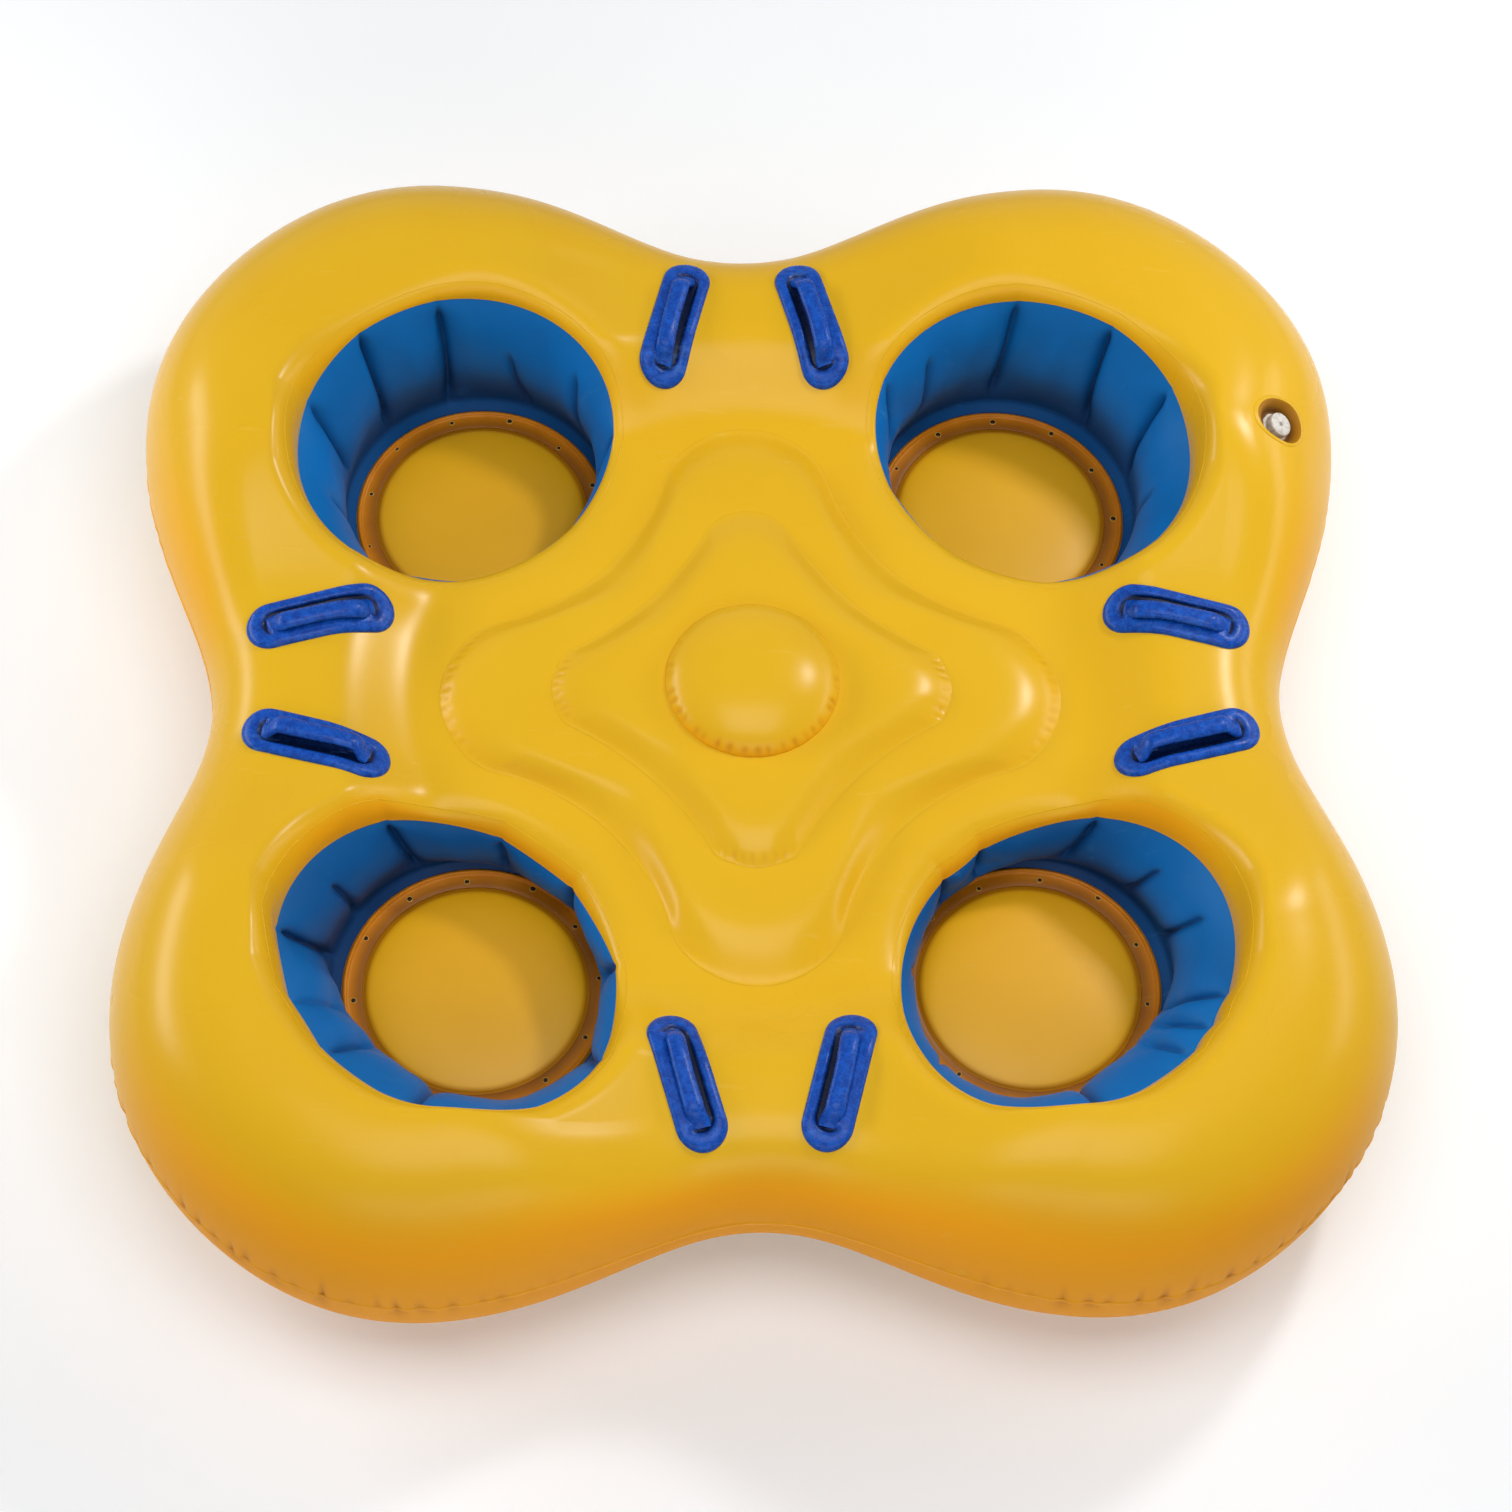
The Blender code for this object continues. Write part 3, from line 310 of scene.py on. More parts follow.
wallLook = {"colour": (0.002, 0.165, 0.53), "otherColour": (0.003, 0.135, 0.44), "foldShadeColour": (0.002, 0.018, 0.08),
            "foldStrength": 0.85, "scuffColour": (0.05, 0.25, 0.55), "scuffFade": 0.35, "scuffCoverage": 0.8,
            "roughness": 0.48, "shine": 0.14, "pebbleScale": 420.0, "mottleScale": 9.0, "bump": 0.25}
handleLook = {"colour": (0.002, 0.040, 0.29), "otherColour": (0.008, 0.098, 0.52),
              "foldShadeColour": (0.0005, 0.002, 0.010), "foldStrength": 0.95, "scuffColour": (0.10, 0.24, 0.62),
              "scuffFade": 0.3, "scuffCoverage": 0.6, "roughness": 0.27, "shine": 0.16, "pebbleScale": 300.0,
              "mottleScale": 240.0, "bump": 0.9}
whiteLook = {"colour": (0.72, 0.69, 0.64), "otherColour": (0.60, 0.55, 0.48), "foldShadeColour": (0.16, 0.12, 0.08),
             "foldStrength": 0.8, "scuffColour": (0.80, 0.78, 0.74), "scuffFade": 0.3, "scuffCoverage": 0.6,
             "roughness": 0.45, "pebbleScale": 500.0, "mottleScale": 90.0, "bump": 0.3}
rubberLook = dict(whiteLook, colour=(0.02, 0.02, 0.02), otherColour=(0.03, 0.03, 0.03), roughness=0.7)
pocketLook = dict(amberLook, colour=(0.60, 0.28, 0.016), otherColour=(0.48, 0.20, 0.010),
                  foldShadeColour=(0.10, 0.035, 0.004))
steelLook = {"colour": (0.60, 0.60, 0.62), "pebbleScale": 900.0, "mottleScale": 200.0, "roughness": (0.22, 0.40)}

yellowSheet = makeSheet("yellowSheet", yellowLook)
padSheet = makeSheet("padSheet", padLook)
amberSheet = makeSheet("amberSheet", amberLook)
wallSheet = makeSheet("wallSheet", wallLook)
handlePvc = makeSheet("handlePvc", handleLook)
valvePlastic = makeSheet("valvePlastic", whiteLook)
sealRubber = makeSheet("sealRubber", rubberLook)
pocketSheet = makeSheet("pocketSheet", pocketLook)
# the rim weld line takes the deeper orange of the flank's painted shade, all the way round
lineSheet = makeSheet("weldLine", dict(yellowLook, colour=(1.0, 0.44, 0.05), otherColour=(0.96, 0.40, 0.04)))
eyeletLip = makeSheet("eyeletLip", dict(amberLook, colour=(0.80, 0.50, 0.10), otherColour=(0.62, 0.30, 0.03)))
# a near-black finish that paints the shadow inside the eyelet holes
paintedHoleShadow = makeSheet("paintedHoleShadow", dict(amberLook, colour=(0.030, 0.012, 0.004), otherColour=(0.02, 0.008, 0.003)))


def makeSteel():
    material, tree, shader = newMaterial("springSteel")
    shader.inputs["Base Color"].default_value = (*steelLook["colour"], 1)
    shader.inputs["Metallic"].default_value = 1.0
    grain = placeGroup(tree, grainGroup, pebbleScale=steelLook["pebbleScale"], mottleScale=steelLook["mottleScale"])
    rough = rangeNode(tree, grain.outputs["mottle"], 0.3, 0.7, *steelLook["roughness"])
    tree.links.new(rough, shader.inputs["Roughness"])
    return material


springSteel = makeSteel()
print("finishes made")


# the hull's form, as the solids have it; the shoulders are a little fuller, except near the valve
hull = {"waist": 1.0406, "lobe": 1.4516, "flatten": 0.0886, "point": 0.0175, "lobeRise": 0.280, "armRise": 0.175,
        "hubRise": 0.100, "hubReach": 0.620, "armFullReach": 0.820, "lobeStart": 0.12, "lobeFull": 0.56,
        "rollShare": 0.94, "fullness": 0.87, "valveAt": 23.6, "valveSpread": 0.10, "lip": 0.066, "bottomLip": 0.120,
        "rimFade": 0.16, "roundSteps": 400, "bottomSteps": 100, "armSteps": 46, "rows": 22, "rowPower": 1.55,
        "shoulderRows": 20, "mergeWithin": 0.0002}

# the oval mouth of a seat well: its size, how far its edge is drawn in between two folds, the nick at each,
# and how far the front wells' front edge reaches forward; then the hole that the well has in the lower sheet
mouth = {"centre": 0.574, "along": 0.285, "across": 0.335, "rise": 0.125, "slope": 0.055, "sag": 0.0055,
         "sagEven": 0.6, "rearSag": 0.3, "nick": 0.0025, "nickWidth": 0.02, "nickTop": 0.15, "frontReach": 0.022,
         "frontFrom": -0.1}
floorHole = {"centre": 0.528, "radius": 0.2575, "drop": 0.0973}

# how far a mouth's far edge stands over the even rim, its bearing, where that starts and the slope of sight there
mouthLift = {"rear_right": (0.072, 90, -0.1, 0.68), "rear_left": (0.072, 90, -0.1, 0.68),
             "front_left": (-0.024, 62, 0.35, 0.51), "front_right": (-0.024, 118, 0.35, 0.51)}

# pinch folds of each well wall: bearing, top and bottom share of the wall, depth in metres
wallFolds = {
    "rear_right": [(152, 0.06, 0.50, 0.009), (129, 0.20, 0.68, 0.010), (94, 0.02, 0.78, 0.012),
                   (56, 0.03, 0.84, 0.015), (19, 0.06, 0.82, 0.014), (346, 0.34, 0.78, 0.009),
                   (312, 0.05, 0.60, 0.010), (272, 0.02, 0.70, 0.012), (236, 0.04, 0.6, 0.012),
                   (196, 0.02, 0.7, 0.011)],
    "rear_left": [(79, 0.04, 0.66, 0.012), (42, 0.02, 0.84, 0.015), (8, 0.05, 0.88, 0.014),
                  (343, 0.34, 0.84, 0.010), (311, 0.20, 0.72, 0.011), (276, 0.02, 0.40, 0.010),
                  (108, 0.30, 0.74, 0.009), (144, 0.03, 0.7, 0.012), (182, 0.05, 0.6, 0.011), (232, 0.02, 0.6, 0.012)],
    "front_left": [(292, 0.05, 0.80, 0.013), (323, 0.26, 0.86, 0.012), (350, 0.05, 0.86, 0.014),
                   (41, 0.04, 0.45, 0.012), (18, 0.02, 0.50, 0.004), (218, 0.0, 0.62, 0.012), (182, 0.0, 0.5, 0.010),
                   (78, 0.02, 0.75, 0.014), (146, 0.03, 0.7, 0.011), (252, 0.06, 0.6, 0.008)],
    "front_right": [(165, 0.04, 0.64, 0.012), (134, 0.26, 0.78, 0.011), (108, 0.20, 0.82, 0.013),
                    (73, 0.02, 0.55, 0.011), (59, 0.02, 0.42, 0.008), (46, 0.03, 0.36, 0.007), (209, 0.0, 0.4, 0.010),
                    (228, 0.0, 0.5, 0.011), (8, 0.02, 0.7, 0.013), (268, 0.20, 0.6, 0.010), (308, 0.20, 0.7, 0.010)],
}


def outlineReach(bearing):
    swing = (hull["lobe"] - hull["waist"]) / 2
    flatten, point = hull["flatten"] * swing, hull["point"] * swing
    middle = (hull["lobe"] + hull["waist"]) / 2 + flatten
    return middle - (swing + point) * math.cos(4 * bearing) - flatten * math.cos(8 * bearing) \
        + point * math.cos(12 * bearing)


def outlinePoint(bearing):
    return polar(outlineReach(bearing), bearing).xy


def outlineNormal(bearing, step=0.002):
    along = outlinePoint(bearing + step) - outlinePoint(bearing - step)
    return Vector((along.y, -along.x)).normalized()


def hullRise(x, y):
    lobe = smoothStep(hull["lobeStart"], hull["lobeFull"], min(abs(x), abs(y)))
    outer = hull["armRise"] + (hull["lobeRise"] - hull["armRise"]) * lobe
    fromHub = smoothStep(hull["hubReach"], hull["armFullReach"], math.hypot(x, y))
    return hull["hubRise"] + (outer - hull["hubRise"]) * fromHub


def rollWidth(bearing):
    edge = outlinePoint(bearing)
    return hull["rollShare"] * hullRise(edge.x, edge.y)


def crestPoint(bearing):
    return outlinePoint(bearing) - outlineNormal(bearing) * rollWidth(bearing)


def mouthEdge(angle, corner, nicked=True):
    # the edge is drawn nearly straight between two folds, with a small nick at each
    lean = angle - quarterTurn / 2
    along, across = mouth["across"] * math.cos(lean), mouth["along"] * math.sin(lean)
    radius = mouth["along"] * mouth["across"] / math.hypot(along, across)
    if nicked:
        tops = [bearing for bearing, top, _, _ in wallFolds[corner] if top < mouth["nickTop"]]
        gaps = [angleGap(angle, math.radians(bearing)) for bearing in tops]
        ahead = min([gap for gap in gaps if gap >= 0], default=1.0)
        behind = min([-gap for gap in gaps if gap < 0], default=1.0)
        between = ahead / (ahead + behind)
        drawn = mouth["rearSag"] if corner.startswith("rear") else 1.0
        radius -= drawn * mouth["sag"] * (math.sin(math.pi * between) - mouth["sagEven"])
        radius += drawn * mouth["nick"] * math.exp(-(min(ahead, behind) / mouth["nickWidth"]) ** 2)
    rise = mouth["rise"] + mouth["slope"] * math.cos(lean)
    turned = quarterTurn * corners.index(corner)
    most, bearing, start, sight = mouthLift[corner]
    lift = most * smoothStep(start, 1.0, math.cos(angle + turned - math.radians(bearing)))
    forward = 0.0
    if corner.startswith("front"):
        forward = mouth["frontReach"] * smoothStep(mouth["frontFrom"], 1.0, -math.sin(angle + turned))
    towards = Vector((-math.sin(turned), -math.cos(turned))) * (lift * sight + forward)
    return Vector((radius * math.cos(angle) + towards.x, radius * math.sin(angle) + towards.y, rise + lift))


def floorEdge(angle, corner, nicked=True):
    return polar(floorHole["radius"], angle, floorHole["drop"])


# pinches along the rim seam, in metres, with what chance makes of each one's size, width, height and lean
seamFolds = {"spacing": 0.044, "jitter": 0.35, "depth": 0.0068, "width": 0.0085, "reach": 0.080, "seed": 4,
             "sizes": (0.3, 1.0), "leastSize": 0.08, "widths": (0.7, 1.3), "heights": (0.6, 1.25),
             "leans": (-0.3, 0.3), "lobeShare": (0.80, 0.25), "walkSteps": 2000, "near": 0.05, "leanShare": 0.3,
             "ridge": 0.22, "ridgeSpread": 9, "shade": 1.3, "shadeMost": 0.9}


def placeSeamFolds():
    chance = random.Random(seamFolds["seed"])
    folds, walked, last = [], 0.0, outlinePoint(0)
    wait = seamFolds["spacing"]
    for step in range(1, seamFolds["walkSteps"] + 1):
        bearing = 2 * math.pi * step / seamFolds["walkSteps"]
        here = outlinePoint(bearing)
        walked += (here - last).length
        last = here
        if walked < wait:
            continue
        walked, wait = 0.0, seamFolds["spacing"] * (1 + seamFolds["jitter"] * chance.uniform(-1, 1))
        bulging = smoothStep(*seamFolds["lobeShare"], abs(angleGap(4 * bearing, math.pi)) / math.pi)
        size = chance.uniform(*seamFolds["sizes"]) * bulging
        if size > seamFolds["leastSize"]:
            drawn = [chance.uniform(*seamFolds[label]) for label in ("widths", "heights", "leans")]
            folds.append((bearing, size, *drawn))
    return folds


rimFolds = placeSeamFolds()


def rimPinch(bearing, drop):
    # depth of the pinches at a bearing, a distance above (+) or below (-) the seam along the sheet
    depth = 0.0
    for at, size, wide, tall, lean in rimFolds:
        gap = angleGap(bearing, at)
        if abs(gap) > seamFolds["near"]:
            continue
        reach = seamFolds["reach"] * tall * (0.5 + 0.5 * size)
        fade = max(0.0, 1 - abs(drop) / reach)
        away = (gap * outlineReach(at) + lean * drop * seamFolds["leanShare"]) / (seamFolds["width"] * wide)
        furrow = math.exp(-away * away) - seamFolds["ridge"] * math.exp(-away * away / seamFolds["ridgeSpread"])
        depth += seamFolds["depth"] * size * fade * fade * furrow
    return depth


def shoulderPoint(bearing, roll, sign):
    crest = crestPoint(bearing)
    width, height = rollWidth(bearing), hullRise(crest.x, crest.y)
    outward = outlineNormal(bearing)
    atValve = math.exp(-(angleGap(bearing, math.radians(hull["valveAt"])) / hull["valveSpread"]) ** 2)
    fullness = hull["fullness"] + (1 - hull["fullness"]) * atValve
    reach, rise = (max(f(roll), 0.0) ** fullness for f in (math.cos, math.sin))
    plan = outlinePoint(bearing) - outward * width * (1 - reach)
    pinch = rimPinch(bearing, height * roll * sign)
    normal = Vector((outward.x * math.cos(roll), outward.y * math.cos(roll), math.sin(roll)))
    return Vector((plan.x, plan.y, height * rise)) - normal * pinch, pinch


def quarterBorder(rounds):
    # round a quarter of the sheet: along the crest, in along one arm's middle and out along the other's
    armSteps, waist = hull["armSteps"], crestPoint(0).x
    crest = [crestPoint(quarterTurn * j / rounds) for j in range(rounds + 1)]
    stations = [waist * (1 - i / armSteps) for i in range(1, armSteps)]
    return crest + [Vector((0, s)) for s in stations] + [Vector((0, 0))] + [Vector((s, 0)) for s in stations[::-1]]


def insideFade(place):
    # what is left of the painted shade inside the rim's roll: three tenths at the rear, more at the front
    inside = outlineReach(math.atan2(place.y, place.x)) - place.xy.length
    lost = 0.25 + 0.45 * smoothStep(-0.3, 0.3, place.y)
    return 1 - lost * smoothStep(0.20, 0.30, inside)


def mergeDoubles(obj):
    bm = bmesh.new()
    bm.from_mesh(obj.data)
    bmesh.ops.remove_doubles(bm, verts=bm.verts[:], dist=hull["mergeWithin"])
    bm.to_mesh(obj.data)
    bm.free()


def hullSheet(name, centre, edge, lip, upward, rounds):
    # each quarter is a fan from the well's edge out to its border, and then the shoulder down to the seam
    points, faces, folds = [], [], []
    sign = 1 if upward else -1
    middle, border = Vector((centre, centre)), quarterBorder(rounds)
    bearings = [math.atan2(b.y - centre, b.x - centre) for b in border]
    shares = arcShares(hull["rows"], hull["rowPower"])
    for quarter, corner in enumerate(corners):
        spin = Matrix.Rotation(quarterTurn * quarter, 3, "Z")
        rims = [edge(bearing, corner) for bearing in bearings]
        evenRims = [edge(bearing, corner, False) for bearing in bearings]
        start = len(points)
        for share in shares:
            for target, nick, even in zip(border, rims, evenRims):
                rim = nick.lerp(even, smoothStep(0.0, hull["rimFade"], share))
                begin = middle + rim.xy
                plan = begin.lerp(target, share)
                full = hullRise(plan.x, plan.y)
                height = rim.z + (full - rim.z) * quarterRound(share * max((target - begin).length / lip, 1))
                points.append(spin @ Vector((plan.x, plan.y, sign * height)))
                folds.append(0.0)
        faces += gridFaces(len(shares), len(border), True, not upward, start)
        start = len(points)
        for i in range(hull["shoulderRows"] + 1):
            roll = quarterTurn * (1 - i / hull["shoulderRows"])
            for j in range(rounds + 1):
                bearing = quarterTurn * j / rounds
                place, pinch = shoulderPoint(bearing + quarterTurn * quarter, roll, sign)
                place.z *= sign
                points.append(place)
                # painted shade in the seam's pinches, as deep as the pinch
                shade = seamFolds["shade"] * pinch / seamFolds["depth"]
                folds.append(min(max(shade, 0.0), seamFolds["shadeMost"]))
        faces += gridFaces(hull["shoulderRows"] + 1, rounds + 1, False, not upward, start)
    for p in points:
        p.z += seamHeight
    obj = newPiece(name, points, faces, yellowSheet)
    addFloats(obj, "foldDepth", folds)
    mergeDoubles(obj)
    addPaintedShade(obj, fade=insideFade)
    return obj


topSkin = hullSheet("hullTopSkin", mouth["centre"], mouthEdge, hull["lip"], True, hull["roundSteps"])
topTree = BVHTree.FromPolygons([v.co.copy() for v in topSkin.data.vertices],
                               [tuple(f.vertices) for f in topSkin.data.polygons])
bottomSkin = hullSheet("hullBottomSkin", floorHole["centre"], floorEdge, hull["bottomLip"], False, hull["bottomSteps"])
settle(bottomSkin, ["hull_bottom_panel"])
print("hull sheets:", len(topSkin.data.polygons), len(bottomSkin.data.polygons))


def onHull(x, y):
    hit = topTree.ray_cast(Vector((x, y, 2)), Vector((0, 0, -1)))[0]
    return hit if hit else Vector((x, y, seamHeight))


def hullNormal(x, y, spread=0.014):
    east, west = onHull(x + spread, y), onHull(x - spread, y)
    north, south = onHull(x, y + spread), onHull(x, y - spread)
    return (east - west).cross(north - south).normalized()


# node trees for what repeats or follows a line
def newNodes(name, inputs):
    # an input's kind follows its value; one without a value takes a material
    tree = bpy.data.node_groups.new(name, "GeometryNodeTree")
    tree.interface.new_socket("Geometry", in_out="INPUT", socket_type="NodeSocketGeometry")
    for label, value in inputs.items():
        kind = {int: "NodeSocketInt", float: "NodeSocketFloat"}.get(type(value), "NodeSocketMaterial")
        socket = tree.interface.new_socket(label, in_out="INPUT", socket_type=kind)
        if value is not None:
            socket.default_value = value
    tree.interface.new_socket("Geometry", in_out="OUTPUT", socket_type="NodeSocketGeometry")
    return tree, tree.nodes.new("NodeGroupInput").outputs


def applyNodes(obj, tree, **values):
    modifier = obj.modifiers.new(tree.name, "NODES")
    modifier.node_group = tree
    for item in tree.interface.items_tree:
        if item.item_type == "SOCKET" and item.in_out == "INPUT" and item.name in values:
            modifier[item.identifier] = values[item.name]
    obj.update_tag()
    bpy.context.view_layer.update()
    evaluated = obj.evaluated_get(bpy.context.evaluated_depsgraph_get())
    mesh = bpy.data.meshes.new_from_object(evaluated)
    obj.modifiers.clear()
    mesh.name = obj.name
    obj.data = mesh
    return obj


def makeBeadNodes():
    tree, given = newNodes("beadAlongLine", {"radius": 0.001, "spacing": 0.01, "sides": 8, "material": None})
    line = addNode(tree, "GeometryNodeMeshToCurve", {0: given["Geometry"]})
    even = addNode(tree, "GeometryNodeResampleCurve", {"Curve": line, "Length": given["spacing"]}, mode="LENGTH")
    section = {"Radius": given["radius"], "Resolution": given["sides"]}
    circle = addNode(tree, "GeometryNodeCurvePrimitiveCircle", section)
    sweep = addNode(tree, "GeometryNodeCurveToMesh", {"Curve": even, "Profile Curve": circle})
    smooth = addNode(tree, "GeometryNodeSetShadeSmooth", {0: sweep})
    paint = addNode(tree, "GeometryNodeSetMaterial", {0: smooth, "Material": given["material"]})
    addNode(tree, "NodeGroupOutput", {0: paint})
    return tree


beadNodes = makeBeadNodes()


def beadPiece(name, loops, radius, spacing, material):
    points, edges = [], []
    for loop in loops:
        start = len(points)
        points += loop
        edges += [(start + k, start + (k + 1) % len(loop)) for k in range(len(loop))]
    mesh = bpy.data.meshes.new(name)
    mesh.from_pydata([tuple(p) for p in points], edges, [])
    return applyNodes(newObject(name, mesh), beadNodes, radius=radius, spacing=spacing, material=material)


# tape over the rim weld: its section as height and share of what it stands proud, and the weld line on its middle
rimTape = {"halfHeight": 0.0065, "proud": 0.0009, "steps": 1000, "lineRadius": 0.0011, "lineSpacing": 0.009,
           "section": [(-1.0, 0.0002), (-0.8, 1.0), (0.0, 1.15), (0.8, 1.0), (1.0, 0.0002)], "steep": 0.8}


def makeRimTape():
    points, folds, line = [], [], []
    for level, proud in rimTape["section"]:
        for k in range(rimTape["steps"]):
            bearing = 2 * math.pi * k / rimTape["steps"]
            outward = outlineNormal(bearing)
            pinch = rimPinch(bearing, level * rimTape["halfHeight"])
            plan = outlinePoint(bearing) + outward * (rimTape["proud"] * proud - pinch)
            points.append(Vector((plan.x, plan.y, seamHeight + level * rimTape["halfHeight"])))
            # painted shade in the pinches of the tape
            folds.append(min(max(pinch / seamFolds["depth"], 0.0), 1.0))
            if level == 0.0:
                line.append(Vector((plan.x, plan.y, seamHeight)))
    faces = gridFaces(len(rimTape["section"]), rimTape["steps"], True, True)
    tape = newPiece("rimTape", points, faces, yellowSheet)
    addFloats(tape, "foldDepth", folds)
    addPaintedShade(tape, rimTape["steep"])
    settle(tape, ["perimeter_seam_tape"])
    bead = beadPiece("rimWeldLine", [line], rimTape["lineRadius"], rimTape["lineSpacing"], lineSheet)
    settle(bead)


makeRimTape()
print("rim tape made")


# seat wells: the wall bulges between its folds, most at the front wells' outer side, and is tucked in at its hem
well = {"columns": 480, "rows": 40, "radius": 0.30, "gap": 0.0006, "bulge": 0.010, "swellPower": 0.85,
        "pillow": 0.019, "pillowReach": 0.052, "pillowTop": 0.35, "pillowGrow": 0.45, "frontBulge": 0.034,
        "bulgeAt": {"front_left": 4.05, "front_right": 5.38}, "bulgeFrom": 0.42, "crumple": 0.004,
        "crumpleScale": (5, 5, 2.2), "foldWidth": 0.0075, "foldGain": 1.35, "foldWander": 5, "foldNear": 0.20,
        "hemShare": 0.93, "hemTuck": 0.014, "tuckFrom": 0.55, "foot": 0.1868, "ringLip": 0.2545}
# painted shade in the blue: towards the foot, less at the hem, on the side turned from the light, and in the folds
wallShade = {"foot": 0.82, "hem": 0.14, "front": 0.55, "rear": 0.10, "darkAt": 2.0, "foldDepth": 0.020}
weldLine = {"out": 0.019, "radius": 0.0011, "steps": 160, "sink": 0.0005, "spacing": 0.01}


def wallFold(corner, angle, share):
    # how far the nearest pinches pull the wall back, and how full the pillow between them is
    pull, near = 0.0, 1.0
    for bearing, top, bottom, depth in wallFolds[corner]:
        wander = well["foldWander"] * math.sin(bearing) * share * share
        away = abs(angleGap(angle, math.radians(bearing + wander))) * well["radius"]
        if away > well["foldNear"]:
            continue
        along = smoothStep(top - 0.04, top + 0.10, share) * smoothStep(bottom + 0.12, bottom - 0.10, share)
        pull = max(pull, well["foldGain"] * depth * along * math.exp(-away / well["foldWidth"]))
        if top < mouth["nickTop"]:
            grown = smoothStep(top, top + well["pillowGrow"], share)
            reach = well["pillowReach"] * (well["pillowTop"] + (1 - well["pillowTop"]) * grown)
            near = min(near, 1 - along * math.exp(-away / reach))
    return pull, near


def wallInward(quarter, corner, angle, share, outward):
    # how far the wall stands inside the straight line from mouth to foot, and how far its folds pull it back
    if share >= well["hemShare"]:
        return -well["hemTuck"] * (1 - (share - well["hemShare"]) / (1 - well["hemShare"])), 0.0
    down = share / well["hemShare"]
    swell = math.sin(math.pi * down ** well["swellPower"])
    pull, full = wallFold(corner, angle, share)
    wide, _, tall = well["crumpleScale"]
    crumple = noise.noise(Vector((outward.x * wide, outward.y * wide, share * tall)) + Vector((quarter * 7, 0, 0)))
    low = 0.0
    if corner in well["bulgeAt"]:
        facing = math.cos(angle + quarterTurn * quarter - well["bulgeAt"][corner])
        low = well["frontBulge"] * smoothStep(well["bulgeFrom"], 1.0, facing)
    inward = swell * (well["bulge"] + well["pillow"] * full + low + well["crumple"] * crumple) - pull
    return inward - well["hemTuck"] * smoothStep(well["tuckFrom"], 1.0, down), pull


def makeWall(quarter, corner):
    spin = Matrix.Rotation(quarterTurn * quarter, 3, "Z")
    above, foot = Vector((mouth["centre"],) * 2), Vector((floorHole["centre"],) * 2)
    turned = wallShade["front"] if corner.startswith("front") else wallShade["rear"]
    points, folds = [], []
    for i in range(well["rows"] + 1):
        share = i / well["rows"]
        for k in range(well["columns"]):
            angle = 2 * math.pi * k / well["columns"]
            edge = mouthEdge(angle, corner)
            outward = edge.xy.normalized()
            plan = (above + edge.xy + outward * well["gap"]).lerp(foot + outward * well["ringLip"], share)
            height = (seamHeight + edge.z - well["gap"]) * (1 - share) + well["foot"] * share
            inward, pull = wallInward(quarter, corner, angle, share, outward)
            plan -= outward * inward
            points.append(spin @ Vector((plan.x, plan.y, height)))
            # painted shade: darker towards the foot, lighter at the hem, darker on the side turned from the light and
            # in the folds
            shade = wallShade["foot"] * smoothStep(0.32, 0.92, share)
            shade -= wallShade["hem"] * smoothStep(0.93, 0.95, share)
            shade += turned * smoothStep(-0.1, 0.9, math.cos(angle + quarterTurn * quarter - wallShade["darkAt"]))
            folds.append(min(pull / wallShade["foldDepth"] + shade, 1.0))
    wall = newPiece("wellWall_" + corner, points, gridFaces(well["rows"] + 1, well["columns"]), wallSheet)
    addFloats(wall, "foldDepth", folds)
    settle(wall, ["well_liner_" + corner])


def mouthWeldLine(quarter, corner):
    spin = Matrix.Rotation(quarterTurn * quarter, 3, "Z")
    middle, line = Vector((mouth["centre"],) * 2), []
    for k in range(weldLine["steps"]):
        edge = mouthEdge(2 * math.pi * k / weldLine["steps"], corner).xy
        plan = spin @ Vector((*(middle + edge + edge.normalized() * weldLine["out"]), 0))
        line.append(onHull(plan.x, plan.y) - hullNormal(plan.x, plan.y, 0.006) * weldLine["sink"])
    return line


def lathePiece(name, profile, steps, centre, material):
    # profile of (radius, height) from the middle or the inner edge outwards and round; radius 0 closes as a pole
    points, faces, rows = [], [], []
    for radius, height in profile:
        row = []
        for k in range(steps if radius else 1):
            turn = 2 * math.pi * k / steps
            row.append(len(points))
            points.append(Vector((centre[0] + radius * math.cos(turn), centre[1] + radius * math.sin(turn), height)))
        rows.append(row)
    closed = bool(profile[0][0]) and bool(profile[-1][0])
    for low, high in list(zip(rows, rows[1:])) + ([(rows[-1], rows[0])] if closed else []):
        for k in range(steps):
            step = (k + 1) % steps
            face = (low[k % len(low)], high[k % len(high)], high[step % len(high)], low[step % len(low)])
            face = tuple(dict.fromkeys(face))
            if len(face) > 2:
                faces.append(face)
    obj = newPiece(name, points, faces, material)
    faceOutward(obj)
    return obj


def floorMiddle(quarter):
    return (Matrix.Rotation(quarterTurn * quarter, 3, "Z") @ Vector((floorHole["centre"], floorHole["centre"], 0))).xy


# amber ring at the wall's foot: rolled inner lip, flat band and a half-round bead outside
flange = {"inner": 0.2165, "outer": 0.262, "top": 0.1860, "low": 0.1832, "beadAt": 0.2488, "beadRise": 0.0046,
          "beadHalf": 0.0042, "beadFoot": 0.0014, "beadSteps": 8, "steps": 144, "shade": 0.7}


